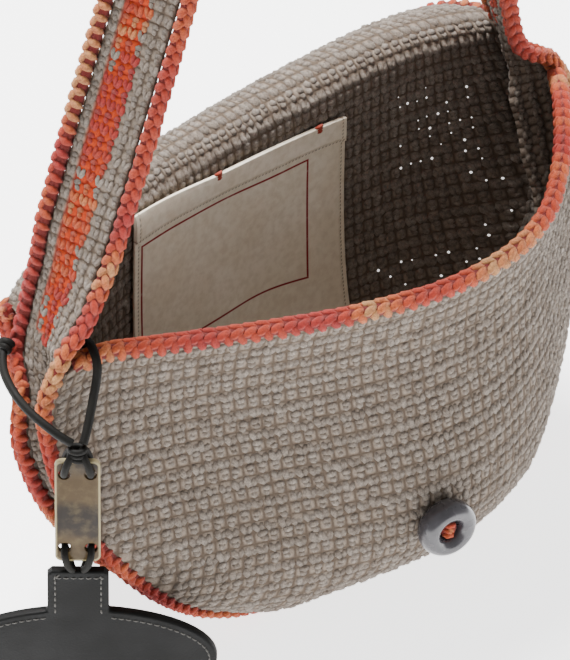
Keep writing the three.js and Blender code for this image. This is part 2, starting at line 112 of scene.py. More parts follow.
class Paint:
    # one material and its nodes
    def __init__(self, name):
        self.material = bpy.data.materials.new(name)
        self.material.use_nodes = True
        self.tree = self.material.node_tree
        self.surface = self.tree.nodes["Principled BSDF"]

    def node(self, kind, settings, inputs, output=0):
        made = self.tree.nodes.new(kind)
        for key, value in settings.items():
            if key == "stops":
                while len(made.color_ramp.elements) < len(value):
                    made.color_ramp.elements.new(0.5)
                for element, (place, colour) in zip(made.color_ramp.elements, value):
                    element.position, element.color = place, colour
            else:
                setattr(made, key, value)
        for key, value in inputs.items():
            self.put(made.inputs[key], value)
        return Value(self, made.outputs[output])

    def put(self, socket, value):
        if isinstance(value, Value):
            self.tree.links.new(value.socket, socket)
        else:
            socket.default_value = value

    def place(self):
        return self.node("ShaderNodeTexCoord", {}, {}, "Object")

    def attribute(self, name, output="Fac"):
        return self.node("ShaderNodeAttribute", {"attribute_name": name}, {}, output)

    def parts(self, vector):
        split = self.node("ShaderNodeSeparateXYZ", {}, {0: vector}).socket.node
        return [Value(self, split.outputs[k]) for k in range(3)]

    def noise(self, scale, vector=None, detail=3.0, rough=0.55):
        where = self.place() if vector is None else vector
        inputs = {"Vector": where, "Scale": scale, "Detail": detail, "Roughness": rough}
        return self.node("ShaderNodeTexNoise", {}, inputs, "Fac")

    def mix(self, share, first, second, way="MIX"):
        return self.node(
            "ShaderNodeMix", {"data_type": "RGBA", "blend_type": way}, {0: share, 6: first, 7: second}, 2,
        )

    def ramp(self, share, stops):
        return self.node("ShaderNodeValToRGB", {"stops": stops}, {0: share})

    def bump(self, height, distance, strength=1.0, under=None):
        inputs = {"Height": height, "Distance": distance, "Strength": strength}
        if under is not None:
            inputs["Normal"] = under
        return self.node("ShaderNodeBump", {}, inputs)

    def finish(self, **sockets):
        for key, value in sockets.items():
            self.put(self.surface.inputs[key.replace("_", " ")], value)
        return self.material


# What a maker would change in the yarns, and the pitch of the panels' stitches in millimetres; the two dark
# colours give both darker yarn tones and painted shade
yarnLook = {
    "grey": rgb(150, 137, 124), "greyDarkToneAndShade": rgb(62, 49, 38), "greyPale": rgb(174, 163, 151),
    "dyes": [
        (0.0, rgb(168, 42, 46)), (0.25, rgb(184, 56, 38)), (0.5, rgb(198, 74, 38)),
        (0.72, rgb(212, 108, 54)), (0.9, rgb(214, 158, 100)), (1.0, rgb(190, 156, 104)),
    ],
    "dyeDarkToneAndShade": rgb(100, 18, 12), "plyTurns": 1.15,
}
stitchPitch = {"across": 5.7, "down": 5.6}


def yarnMaterial(name, dyedShare):
    # dyedShare is 0 for grey yarn, 1 for dyed yarn, or None where the attribute "striped" says so
    paint = Paint(name)
    lot, rise = paint.attribute("lot"), paint.attribute("rise")
    along, around, _ = paint.parts(paint.attribute("ply", "Vector"))
    fibre = paint.noise(1100.0, detail=4.0, rough=0.7)
    patch = paint.noise(150.0, detail=3.0)
    grey = paint.mix(patch.between(0.3, 0.75), yarnLook["grey"], yarnLook["greyPale"])
    grey = paint.mix(lot * 0.22, grey, yarnLook["greyDarkToneAndShade"])
    dyed = paint.ramp(paint.attribute("dye") + (patch - 0.5) * 0.35, yarnLook["dyes"])
    dyed = paint.mix(lot * 0.18, dyed, yarnLook["dyeDarkToneAndShade"])
    striped = paint.attribute("striped") if dyedShare is None else dyedShare
    colour = paint.mix(striped, grey, dyed)
    # deep: the dark colour that the painted shade below and the fibres' random darker tone lean towards
    deep = paint.mix(striped, yarnLook["greyDarkToneAndShade"], yarnLook["dyeDarkToneAndShade"])
    twist = ((along * yarnLook["plyTurns"] + around) * (2 * math.pi * 3)).sine() * 0.5 + 0.5
    # painted shade: darker in the grooves between the plies of the twist
    colour = paint.mix((1 - twist) * 0.22, colour, deep)
    colour = paint.mix((fibre.between(0.38, 0.6) * -0.42) + 0.42, colour, deep)
    colour = paint.mix(rise.between(0.0, 0.85, 0.95, 0.0), colour, deep)
    plies = paint.bump(twist * 0.6 + fibre * 1.1, 0.0004, 0.8)
    paint.surface.inputs["Sheen Weight"].default_value = 0.12
    paint.surface.inputs["Sheen Roughness"].default_value = 0.6
    paint.surface.inputs["Specular IOR Level"].default_value = 0.2
    return paint.finish(Base_Color=colour, Roughness=0.92, Normal=plies)


def groundMaterial(name):
    # the cloth behind the raised stitches: the same stitches in low relief, coloured with painted shade,
    # darkest in the gaps between the knobs
    paint = Paint(name)
    across, down, _ = paint.parts(paint.attribute("flat", "Vector"))
    row = down / stitchPitch["down"]
    column = across / stitchPitch["across"] + 0.5
    x = (column.within() - 0.5).size() * 2
    y = (row.within() - 0.5).size() * 2
    knob = (1 - x * x) * (1 - y * y)
    fibre = paint.noise(1200.0, detail=2.0)
    striped = paint.attribute("striped")
    light = paint.mix(striped, yarnLook["grey"], yarnLook["dyes"][2][1])
    deep = paint.mix(striped, yarnLook["greyDarkToneAndShade"], yarnLook["dyeDarkToneAndShade"])
    # painted shade: the sheet is dark, and darkest between the knobs, standing in for the shade in the gaps
    # between stitches
    colour = paint.mix(knob.between(0.02, 0.7, 0.2, 0.75) * fibre.between(0.2, 0.6, 0.6, 1.0), deep, light)
    relief = paint.bump(knob + fibre * 0.25, 0.0012, 0.7)
    paint.surface.inputs["Specular IOR Level"].default_value = 0.15
    return paint.finish(Base_Color=colour, Roughness=0.95, Normal=relief)


def leatherMaterial(name, tone, worn, gloss, grain):
    paint = Paint(name)
    inputs = {"Vector": paint.place(), "Scale": grain}
    cells = paint.node("ShaderNodeTexVoronoi", {"feature": "F1"}, inputs, "Distance")
    patch, fine = paint.noise(55.0), paint.noise(1400.0, detail=2.0)
    colour = paint.mix(patch.between(0.35, 0.75) * 0.8 + fine * 0.2, tone, worn)
    relief = paint.bump(cells * 0.8 + fine * 0.5, 0.00022, 0.55)
    paint.surface.inputs["Specular IOR Level"].default_value = 0.16
    rough = patch.between(0.3, 0.7, gloss, gloss + 0.15)
    return paint.finish(Base_Color=colour, Roughness=rough, Normal=relief)


greyYarn = yarnMaterial("greyYarn", 0.0)
dyedYarn = yarnMaterial("dyedYarn", 1.0)
stripedYarn = yarnMaterial("stripedYarn", None)
greyGround = groundMaterial("greyGround")
leatherCord = leatherMaterial("cordLeather", rgb(12, 11, 9), rgb(26, 24, 20), 0.6, 1500.0)
fobLeather = leatherMaterial("fobLeather", rgb(10, 10, 10), rgb(18, 18, 17), 0.5, 1100.0)
print("materials for yarn and leather made")


# Meshes

def through(points, closed, t):
    # a smooth curve through the points, at each t from 0 to 1
    points, t = np.asarray(points, float), np.asarray(t, float)
    count = len(points)
    at = (t % 1.0 if closed else np.clip(t, 0, 1)) * (count if closed else count - 1)
    first = np.floor(at).astype(int)
    if not closed:
        first = np.minimum(first, count - 2)
    part = (at - first)[..., None]
    if closed:
        p0, p1, p2, p3 = (points[(first + k) % count] for k in (-1, 0, 1, 2))
    else:
        longer = np.vstack([2 * points[0] - points[1], points, 2 * points[-1] - points[-2]])
        p0, p1, p2, p3 = (longer[first + k] for k in (0, 1, 2, 3))
    reach = lambda a, b: np.maximum(((a - b) ** 2).sum(-1, keepdims=True) ** 0.25, 1e-9)
    d0, d1, d2 = reach(p0, p1), reach(p1, p2), reach(p2, p3)
    t1 = ((p1 - p0) / d0 - (p2 - p0) / (d0 + d1) + (p2 - p1) / d1) * d1
    t2 = ((p2 - p1) / d1 - (p3 - p1) / (d1 + d2) + (p3 - p2) / d2) * d1
    c2, c3 = -3 * p1 + 3 * p2 - 2 * t1 - t2, 2 * p1 - 2 * p2 + t1 + t2
    return p1 + t1 * part + c2 * part ** 2 + c3 * part ** 3


def unit(v):
    return v / np.maximum(np.linalg.norm(v, axis=-1, keepdims=True), 1e-12)


def reachAlong(points):
    # how far along a line each of its points lies
    return np.concatenate([[0], np.cumsum(np.linalg.norm(np.diff(points, axis=0), axis=1))])


def gridFaces(columns, count):
    # the faces of a sheet of columns, with count points in each
    faces = []
    for i in range(columns - 1):
        for j in range(count - 1):
            a = i * count + j
            faces.append((a, a + 1, a + count + 1, a + count))
    return faces


def meshFrom(name, points, faces, material, **attributes):
    # points in millimetres
    points = np.array(points, float)
    points[:, 2] = np.maximum(points[:, 2], 0.05)  # nothing dips into the floor
    mesh = bpy.data.meshes.new(name)
    mesh.from_pydata((np.asarray(points) / 1000).tolist(), [], faces)
    for key, values in attributes.items():
        values = np.asarray(values, float)
        kind = "FLOAT_VECTOR" if values.ndim == 2 else "FLOAT"
        layer = mesh.attributes.new(key, kind, "POINT")
        layer.data.foreach_set("vector" if values.ndim == 2 else "value", values.ravel())
    mesh.materials.append(material)
    mesh.shade_smooth()
    piece = bpy.data.objects.new(name, mesh)
    bpy.context.collection.objects.link(piece)
    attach(piece, "root")
    return piece


def applyTo(piece, modifier):
    bpy.context.view_layer.objects.active = piece
    bpy.ops.object.modifier_apply(modifier=modifier.name)


def thicken(piece, thick):
    # a sheet gets its thickness, in millimetres, behind its face
    solidify = piece.modifiers.new("thickness", "SOLIDIFY")
    solidify.thickness, solidify.offset = thick / 1000, -1
    applyTo(piece, solidify)


def roundEdges(piece, wide, segments):
    # wide in millimetres
    rounded = piece.modifiers.new("rounded", "BEVEL")
    rounded.width, rounded.segments = wide / 1000, segments
    rounded.limit_method, rounded.angle_limit = "ANGLE", 1.0
    applyTo(piece, rounded)


def coreTube(name, points, closed, radius, material, sides=8):
    # a round tube along a line; a closed line ends with its first point again
    if closed:
        points = points[:-1]
        ahead = unit(np.roll(points, -1, 0) - np.roll(points, 1, 0))
    else:
        ahead = unit(np.gradient(points, axis=0))
    total = len(points)
    side = np.zeros_like(points)
    side[0] = unit(np.cross(ahead[0], [0.3, 0.5, 0.8]))
    for i in range(1, total):
        side[i] = unit(side[i - 1] - ahead[i] * (side[i - 1] @ ahead[i]))
    if closed:  # what the frame has turned by, spread over the ring
        last = unit(side[-1] - ahead[0] * (side[-1] @ ahead[0]))
        off = math.atan2(np.cross(last, side[0]) @ ahead[0], last @ side[0])
        spread = (off * np.arange(total) / total)[:, None]
        side = side * np.cos(spread) + np.cross(ahead, side) * np.sin(spread)
    other = np.cross(ahead, side)
    turns = np.linspace(0, 2 * math.pi, sides, endpoint=False)
    swing = np.cos(turns)[None, :, None] * side[:, None] + np.sin(turns)[None, :, None] * other[:, None]
    rings = points[:, None] + radius * swing
    faces = []
    for i in range(total if closed else total - 1):
        for j in range(sides):
            k, n = (j + 1) % sides, (i + 1) % total
            faces.append((i * sides + j, i * sides + k, n * sides + k, n * sides + j))
    if not closed:
        faces.append(tuple(range(sides - 1, -1, -1)))
        faces.append(tuple((total - 1) * sides + j for j in range(sides)))
    reach = reachAlong(points)
    size = total * sides
    ply = np.stack([np.repeat(reach, sides), np.tile(turns / (2 * math.pi), total), np.zeros(size)], -1)
    return meshFrom(name, rings.reshape(-1, 3), faces, material,
                    lot=np.full(size, 0.9), rise=np.full(size, 0.2), dye=np.full(size, 0.2), ply=ply)


def joinPieces(first, *others):
    bpy.ops.object.select_all(action="DESELECT")
    for piece in (first, *others):
        piece.select_set(True)
    bpy.context.view_layer.objects.active = first
    bpy.ops.object.join()
    bpy.ops.object.select_all(action="DESELECT")
    return first


# The charm's cord comes first: from a knot in the rear edging and from inside the mouth to the hitch
charm = {
    "cordRadius": 2.0, "plateAt": (-162.2, 36.2, 114.2), "plateWide": 20, "plateTall": 57, "plateThick": 2.6,
    "rim": 3.2,
    "inset": 7.5, "spread": 5.8, "fobWide": 118, "fobTall": 54, "fobThick": 5, "fobNeck": 27, "fobUp": 31,
    "fobShift": 2, "stitchPitch": 3.3, "stitchInset": 3.4,
    "cordLeft": [
        (-151.1, -19.6, 170), (-155.6, -17.4, 167.6), (-161.5, -11, 165.6), (-166, -2.6, 164.6),
        (-169, 6, 163.6), (-170, 14.5, 161.6), (-169, 23, 158.6), (-166.6, 30, 155), (-163.8, 34.6, 152.1),
    ],
    "cordRight": [
        (-132.6, 9.8, 175.4), (-134, 12.2, 180), (-136.2, 17.6, 182.4), (-138.4, 22.6, 181.2),
        (-140.6, 26.6, 178), (-143.4, 28.8, 172), (-147.4, 31, 166), (-152.6, 34, 159.8),
        (-157.6, 36.8, 154.6), (-160.3, 38, 151.8),
    ],
}  # side, out, up of each point
lean = 26  # how far the base stands in front of the strap's plane


def charmPoint(points):
    # x to the right, y up and z towards the front left, from the middle of the plate
    side, out, up = charm["plateAt"]
    points = np.asarray(points, float)
    turned = np.array([[1, -1, 0], [0, 0, math.sqrt(2)], [-1, -1, 0]]) / math.sqrt(2)
    return points @ turned + [side, lean - out, up]


def strandLoop(side, end, radius, reach, name):
    holeUp = charm["plateTall"] / 2 - charm["inset"]
    hole, beyond, edge = end * holeUp, end * (charm["plateTall"] / 2 + reach), end * charm["plateTall"] / 2
    away, x = charm["plateThick"] / 2 + radius + 0.7, side * charm["spread"]
    loop = [
        (x, hole, 0), (x, hole + end * 2.4, away), (x * 0.8, edge, away + 0.3),
        (side * 2.6, beyond, away * 0.4), (side * 2.6, beyond + end, -away * 0.4),
        (x * 0.8, edge, -away - 0.3), (x, hole + end * 2.4, -away),
    ]
    line = through(charmPoint(loop), True, np.linspace(0, 1, 45))
    return coreTube(name, line, True, radius, leatherCord, 12)


def coil(name, centre, axis, ring, radius, tilt, material):
    # one turn of cord round an axis
    axis = unit(np.array(axis, float) + tilt)
    side = unit(np.cross(axis, [0.31, 0.52, 0.8]))
    turns = np.linspace(0, 2 * math.pi, 29)[:, None]
    points = centre + ring * (np.cos(turns) * side + np.sin(turns) * np.cross(axis, side))
    return coreTube(name, points, True, radius, material, 10)


def hangingCord(name, node, route, endKnot):
    points = np.array([(side, lean - out, up) for side, out, up in route], float)
    smooth = through(points, False, np.linspace(0, 1, 60))
    piece = coreTube(name, smooth, False, charm["cordRadius"], leatherCord, 14)
    ahead = unit(points[1] - points[0])
    if endKnot:
        turns = (
            ("Knot", 0.4, 2.3, 1.7, (0.2, 0.1, 0)),
            ("Turn", 3.2, 2.1, 1.5, (-0.15, 0.2, 0.1)),
        )  # how far along the cord, ring, radius and tilt of each
        piece = joinPieces(piece, *[
            coil(name + end, points[0] + ahead * far, ahead, ring, radius, np.array(tilt), leatherCord)
            for end, far, ring, radius, tilt in turns
        ])
    length = np.linalg.norm(np.diff(smooth, axis=0), axis=1).sum() / 1000
    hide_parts(node)
    return piece, points / 1000, smooth / 1000, length


knotUp = charm["plateTall"] / 2 + 4
hitch = [strandLoop(-1, 1, 1.7, 4, "charmHitch"), strandLoop(1, 1, 1.7, 4, "hitchRight")]
for k in range(3):
    turnAt = charmPoint((0, knotUp + 2.1 * (k - 1), 0))
    tipped = np.array([0.12, 0.1 * (k - 1), 0])
    hitch.append(coil("hitchTurn%d" % k, turnAt, (0, 0, 1), 3.1, 1.45, tipped, leatherCord))
charmHitch = joinPieces(*hitch)
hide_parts("charm_hitch")
for name, node, route, endKnot in (
    ("charmCordLeft", "charm_cord_left", charm["cordLeft"], True),
    ("charmCordRight", "charm_cord_right", charm["cordRight"], False),
):
    piece, routePoints, path, length = hangingCord(name, node, route, endKnot)
    alongCord = [tuple(point) for point in path[::3]] + [tuple(path[-1])]
    print(name, round(length * 1000), "mm long")
# The bag's shape, in millimetres, from the same tables as the solids
bag = {
    "mouthHeight": 174, "halfWidth": 172, "panelDepth": 232, "flapLength": 180,
    "bandReach": 18, "braid": 4.3, "cornerStation": 8.8,
    "wallEnd": 9, "wallMid": 13, "rightCorner": 36,
    "tuck": 30, "belly": 113, "toRight": 0.3, "bellyUp": 28, "backSwell": 46, "backUp": 40,
}
# side, out, up, fold, turn
bandTable = np.array([
    (0, 26, 2, 0, 0), (30, 26, 2, 0, 0), (55, 26, 3, 0, 0), (83, 27, 15, 8, 0), (109, 28, 34, 20, 0),
    (133, 26, 61, 36, 0), (152, 19, 93, 50, 0), (160, 9, 127, 54, 0), (160, 3, 154, 50, 0),
    (151, 0, 178, 30, 3), (138, 0, 202, 6, 8), (124, 0, 232, 0, 16), (104, 0, 284, 0, 22),
    (80, 0, 346, 0, 24), (58, 0, 410, 0, 18), (40, 0, 472, 0, 9), (27, 0, 520, 0, 3), (11, 0, 547, 0, 0),
], float)
leftCorner = {8: (157, 3.5, 154, 52, -19), 9: (146.5, -1.8, 178, 14, -18), 10: (135.5, 0, 202, 4, 0)}
rightCorner = {
    6: (152, 19, 93, 50, 0, 1.25), 7: (160, 9, 127, 54, 0, 1.65), 8: (160, 3, 154, 50, 0, 1.75),
    9: (151, 0, 178, 30, 6, 1.5), 10: (135, 0, 202, 6, 24), 11: (128, 0, 232, 0, 24),
    12: (109, 0, 284, 0, 25),
}  # and how much deeper the folded cloth is
# side, out, above the mouth's height
mouthTable = [
    (-152, 15, -1), (-133, 19, 2), (-110, 30, 0), (-68, 54, -2), (-30, 75, -2), (10, 90, -2),
    (45, 94, -1), (77, 86, 0), (107, 65, 1), (134, 38, 2), (152, 15, -1),
]
crestTable = [
    (-143, -25, 4), (-130, -29, 8), (-104, -34, 18), (-60, -40, 24), (0, -42, 23),
    (58, -39, 22), (100, -34, 20), (128, -29, 15), (144, -25, 10), (152, -23, 6),
]


def spot(side, out, up):
    return np.stack(np.broadcast_arrays(side, lean - np.asarray(out, float), up), -1).astype(float)


def measured(points):
    # the point at each share of a line's length
    reach = reachAlong(points)

    def at(share):
        goal = np.clip(share, 0, 1) * reach[-1]
        return np.stack([np.interp(goal, reach, points[:, k]) for k in range(3)], -1)

    return at


def stationRow(row, corner, index, way):
    made = list(corner.get(index, row))
    return made + [1.0] * (6 - len(made)) + [way]


rightSide = [stationRow(row, rightCorner, i, 1) for i, row in enumerate(bandTable)]
leftSide = [stationRow(row, leftCorner, i, -1) for i, row in enumerate(bandTable)]
stations = np.array(rightSide + leftSide[:0:-1], float)
bandLine = spot(stations[:, 6] * stations[:, 0], stations[:, 1], stations[:, 2])


def bandFrame(t):
    t = np.asarray(t, float)
    at = (t % 1.0) * len(stations)
    first = np.floor(at).astype(int) % len(stations)
    here, there = stations[first], stations[(first + 1) % len(stations)]
    part = at - np.floor(at)
    ease = part * part * (3 - 2 * part)
    middle = through(bandLine, True, t)
    along = unit(through(bandLine, True, t + 1e-4) - through(bandLine, True, t - 1e-4))
    mixed = lambda a, b: np.radians(a + (b - a) * ease)
    turned = mixed(here[..., 6] * here[..., 4], there[..., 6] * there[..., 4])
    forward = np.stack([-np.sin(turned), -np.cos(turned), 0 * turned], -1)
    forward = unit(forward - along * (forward * along).sum(-1, keepdims=True))
    inward = np.cross(forward, along)
    folded = mixed(here[..., 3], there[..., 3])[..., None]
    deep = 0.92 * (here[..., 5] + (there[..., 5] - here[..., 5]) * ease)[..., None]
    return middle, along, forward, inward, folded, deep


def bandPoint(t, c):
    middle, along, forward, inward, folded, deep = bandFrame(t)
    c = np.asarray(c, float)[..., None]
    raised = (bag["bandReach"] - abs(c)) * np.sin(folded) * deep
    return middle + forward * c * np.cos(folded) + inward * raised


def edgePoint(t, way):
    point = bandPoint(t, np.full(np.shape(t), way * float(bag["bandReach"])))
    point[..., 2] = np.maximum(point[..., 2], bag["braid"] + 0.1)
    return point


def lineThrough(table):
    points = [spot(side, out, bag["mouthHeight"] + above) for side, out, above in table]
    return measured(through(points, False, np.linspace(0, 1, 161)))


cornerShare = bag["cornerStation"] / len(stations)
seamSteps = np.linspace(-cornerShare, cornerShare, 161)
frontSeam, backSeam = measured(edgePoint(seamSteps, 1)), measured(edgePoint(seamSteps, -1))
mouthLine, crestLine = lineThrough(mouthTable), lineThrough(crestTable)

rimTurn = np.linspace(math.pi, 0, 181)
rim = np.stack([bag["halfWidth"] * np.cos(rimTurn), bag["panelDepth"] * np.sin(rimTurn)], -1)
rimReach = reachAlong(rim)


def seamShare(p):
    at = 180 * (1 - np.arccos(np.clip(p / bag["halfWidth"], -1, 1)) / math.pi)
    return np.interp(at, np.arange(181), rimReach / rimReach[-1])


def middling(p):
    # 1 at the middle of a half moon, 0 at its two corners
    return np.maximum(0, 1 - (p / bag["halfWidth"]) ** 2)


def depthAt(p):
    return bag["panelDepth"] * np.sqrt(middling(p))


def widthShare(p):
    return (p / bag["halfWidth"] + 1) / 2


def wallRadius(p):
    # of the fold, towards the inside
    return bag["wallEnd"] + (bag["wallMid"] - bag["wallEnd"]) * middling(p)


def flapRadius(p):
    # of the fold, towards the flap: wider at the right corner
    return wallRadius(p) + bag["rightCorner"] * np.clip(widthShare(p), 0, 1) ** 7


def wallTurn(p):
    return wallRadius(p) * math.pi / 2


def flapTurn(p):
    return flapRadius(p) * math.pi / 2


def flapRim(p):
    return -wallTurn(p) - bag["flapLength"] * np.sqrt(middling(p))


def curveDown(p, top, upper, lower, foot, t):
    steep = abs(p / bag["halfWidth"]) ** 6
    upper[..., 0] = top[..., 0] + (foot[..., 0] - top[..., 0]) * (0.3 + 0.65 * steep)
    lower[..., 0] = top[..., 0] + (foot[..., 0] - top[..., 0]) * (0.7 + 0.3 * steep)
    t = t[..., None]
    s = 1 - t
    return top * s ** 3 + upper * 3 * s * s * t + lower * 3 * s * t * t + foot * t ** 3


def frontPoint(p, q):
    top, foot, full = mouthLine(widthShare(p)), frontSeam(seamShare(p)), middling(p)
    drop = top[..., 2] - foot[..., 2]
    belly = bag["belly"] * full ** 2 * (1 + bag["toRight"] * p / bag["halfWidth"])
    upper = top + np.stack([0 * p, bag["tuck"] * full, -0.38 * drop], -1)
    lower = foot + np.stack([0 * p, -belly, bag["bellyUp"] * full + 0.12 * drop * (1 - full)], -1)
    return curveDown(p, top, upper, lower, foot, q / np.maximum(depthAt(p), 1e-6))


def backPoint(p, q):
    crest, full = crestLine(widthShare(p)), middling(p)
    radius = np.where(q < 0, flapRadius(p), wallRadius(p))
    angle = np.clip(abs(q) / radius, 0, math.pi / 2)
    way = np.where(q < 0, 1.0, -1.0)
    rolled = crest + np.stack([0 * p, way * radius * np.sin(angle), -radius * (1 - np.cos(angle))], -1)
    over = np.maximum(0, -q)
    hang = np.maximum(0, over - flapTurn(p))
    gathered = 0.0005 * over + 0.06 * (1 - np.exp(-over / 25))
    hung = rolled + np.stack([-crest[..., 0] * gathered, 0.05 * hang, -hang], -1)
    top, foot = crest + np.stack([0 * p, -wallRadius(p), -wallRadius(p)], -1), backSeam(seamShare(p))
    drop = top[..., 2] - foot[..., 2]
    upper = top + np.stack([0 * p, 0 * p, -0.35 * drop], -1)
    lifted = bag["backUp"] * full + 0.3 * drop * (1 - full)
    lower = foot + np.stack([0 * p, bag["backSwell"] * full, lifted], -1)
    wall = curveDown(p, top, upper, lower, foot, (q - wallTurn(p)) / (depthAt(p) + 2))
    return np.where((q < 0)[..., None], hung, np.where((q <= wallTurn(p))[..., None], rolled, wall))


def facing(surface, p, q, step=0.5):
    # which way a surface faces, out of the bag in front and into it behind
    down, across = surface(p, q + step) - surface(p, q - step), surface(p + step, q) - surface(p - step, q)
    return unit(np.cross(down, across))


class Cloth:
    # a surface measured in millimetres of its own cloth: p across, s down from where s is 0
    def __init__(self, surface, low, high, reach=170.0, step=1.5):
        self.p, self.step = np.linspace(-reach, reach, 171), step
        columns = []
        for p in self.p:
            q = np.linspace(low(p), high(p), 240)
            points = surface(np.full(240, p), q)
            s = reachAlong(points)
            columns.append((points, s - np.interp(0, q, s), q))
        self.low = np.array([c[1][0] for c in columns])
        self.high = np.array([c[1][-1] for c in columns])
        self.s = np.arange(self.low.min() - 4, self.high.max() + 4, step)
        self.grid = np.stack([self.stretched(points, s) for points, s, _ in columns])

    def stretched(self, points, s):
        # past both ends the column goes on straight
        inside = np.stack([np.interp(self.s, s, points[:, k]) for k in range(3)], -1)
        for end, step in ((0, 1), (-1, -1)):
            way = unit(points[end] - points[end + step * 4])
            past = (s[0] - self.s) if end == 0 else (self.s - s[-1])
            inside += np.maximum(past, 0)[:, None] * way
        return inside

    def at(self, p, s):
        i = np.clip((p - self.p[0]) / (self.p[1] - self.p[0]), 0, len(self.p) - 1.0001)
        j = np.clip((s - self.s[0]) / self.step, 0, len(self.s) - 1.0001)
        a, b = i.astype(int), j.astype(int)
        u, v = (i - a)[..., None], (j - b)[..., None]
        g = self.grid
        above = g[a, b] * (1 - u) + g[a + 1, b] * u
        below = g[a, b + 1] * (1 - u) + g[a + 1, b + 1] * u
        return above * (1 - v) + below * v

    def frame(self, p, s):
        across = (self.at(p + 2, s) - self.at(p - 2, s)) / 4
        down = (self.at(p, s + self.step) - self.at(p, s - self.step)) / (2 * self.step)
        return self.at(p, s), across, down, unit(np.cross(down, across))

    def ends(self, p):
        return np.interp(p, self.p, self.low), np.interp(p, self.p, self.high)


frontCloth = Cloth(frontPoint, lambda p: 0.0, depthAt)
backCloth = Cloth(backPoint, flapRim, lambda p: wallTurn(p) + depthAt(p) + 2)
print("panels laid out")


# Lobes of yarn and rows of them

def lobe(path, radii, sides, flat=1.0):
    # one bulge of yarn: rings along a short path and a tip at each end
    path, radii = np.array(path, float), np.array(radii, float)
    steps = unit(np.gradient(path, axis=0))
    side = unit(np.cross(steps, [0, 0, 1.0]))
    up = np.cross(side, steps)
    turns = np.linspace(0, 2 * math.pi, sides, endpoint=False)
    rings = [
        path[i] + radii[i] * (np.outer(np.cos(turns), side[i]) + flat * np.outer(np.sin(turns), up[i]))
        for i in range(len(path))
    ]
    tips = [path[0] - steps[0] * radii[0] * 0.7, path[-1] + steps[-1] * radii[-1] * 0.7]
    points = np.vstack([*rings, tips[0][None], tips[1][None]])
    count, faces = len(path), []
    for i in range(count - 1):
        for j in range(sides):
            k = (j + 1) % sides
            faces.append((i * sides + j, (i + 1) * sides + j, (i + 1) * sides + k, i * sides + k))
    for j in range(sides):
        k = (j + 1) % sides
        faces.append((count * sides, j, k))
        faces.append((count * sides + 1, (count - 1) * sides + k, (count - 1) * sides + j))
    reach = reachAlong(path)
    along = np.concatenate([np.repeat(reach, sides), [reach[0] - 1, reach[-1] + 1]])
    around = np.concatenate([np.tile(turns / (2 * math.pi), count), [0, 0]])
    return points, faces, along, around


def together(lobes):
    points, faces, along, around, base = [], [], [], [], 0
    for lobePoints, lobeFaces, lobeAlong, lobeAround in lobes:
        faces += [tuple(base + k for k in face) for face in lobeFaces]
        points.append(lobePoints)
        along.append(lobeAlong)
        around.append(lobeAround)
        base += len(lobePoints)
    return np.vstack(points), faces, np.concatenate(along), np.concatenate(around)


def repeated(name, parts, material, rise):
    # parts: a template, its frames (centre, across, down and outward), its lots and other attributes
    allPoints, allFaces, base = [], [], 0
    attributes = {"lot": [], "rise": [], "ply": []}
    for part in parts:
        (points, faces, along, around), frames, lot = part[:3]
        centre, across, down, out = (f[:, None, :] for f in frames)
        count, size = len(lot), len(points)
        x, y, z = points[None, :, 0:1], points[None, :, 1:2], points[None, :, 2:3]
        placed = centre + x * across + y * down + z * out
        for k in range(count):
            start = base + k * size
            allFaces += [tuple(start + v for v in face) for face in faces]
        base += count * size
        spread = np.repeat(lot, size)
        allPoints.append(placed.reshape(-1, 3))
        attributes["lot"].append(spread)
        attributes["rise"].append(np.tile(rise(points), count))
        ply = [np.tile(along, count) + spread * 9, np.tile(around, count), spread]
        attributes["ply"].append(np.stack(ply, -1))
        for key, values in (part[3] if len(part) > 3 else {}).items():
            attributes.setdefault(key, []).append(np.repeat(values, size))
    made = {key: np.concatenate(values) for key, values in attributes.items()}
    return meshFrom(name, np.concatenate(allPoints), allFaces, material, **made)


# A stitch is as thick as the cloth. One row shows upright legs, the next a bar and a short leg
panelStitch = {
    "jitter": 0.36, "radii": [1.25, 2.0, 1.45], "flat": 1.08,
    "left": [(-1.6, -2.3, -0.1), (-1.25, -0.3, 0.3), (-0.2, 2.1, -0.1)],
    "right": [(1.8, -1.9, -0.2), (1.35, 0.2, -0.1), (0.6, 2.3, -0.3)],
    "bar": [(-1.7, -0.4, -0.2), (0.0, -1.0, 0.35), (1.8, -0.9, -0.3)],
    "leg": [(-0.9, 0.3, -0.1), (0.1, 1.5, 0.1), (1.0, 2.4, -0.2)],
}
def stitchTemplate(*bulges):
    radii, flat = panelStitch["radii"], panelStitch["flat"]
    return together([lobe(panelStitch[bulge], radii, 6, flat) for bulge in bulges])


legTemplate, barTemplate = stitchTemplate("left", "right"), stitchTemplate("bar", "leg")


def stitchRise(points):
    return np.clip((abs(points[:, 2]) - 0.55) / 1.6, 0, 1)


def stitchRows(cloth, first, last, inset):
    # the middles of all stitches whose whole body lies on the cloth
    found = []
    across, tall = stitchPitch["across"], stitchPitch["down"]
    for row in range(int(first // tall), int(last // tall) + 1):
        s = (row + 0.5) * tall
        if not first <= s <= last:
            continue
        p = (np.arange(-31, 32) + 0.12 * math.sin(row * 1.7)) * across
        low, high = cloth.ends(p)
        keep = (abs(p) < 168.5) & (s > low + inset) & (s < high - inset)
        found.append(np.stack([p[keep], np.full(keep.sum(), s), np.full(keep.sum(), row)]))
    p, s, row = np.concatenate(found, 1)
    p = p + random.normal(0, panelStitch["jitter"], len(p))
    s = s + random.normal(0, panelStitch["jitter"], len(s)) + np.where(row % 2 == 0, 0.35, -0.35)
    return p, s, row


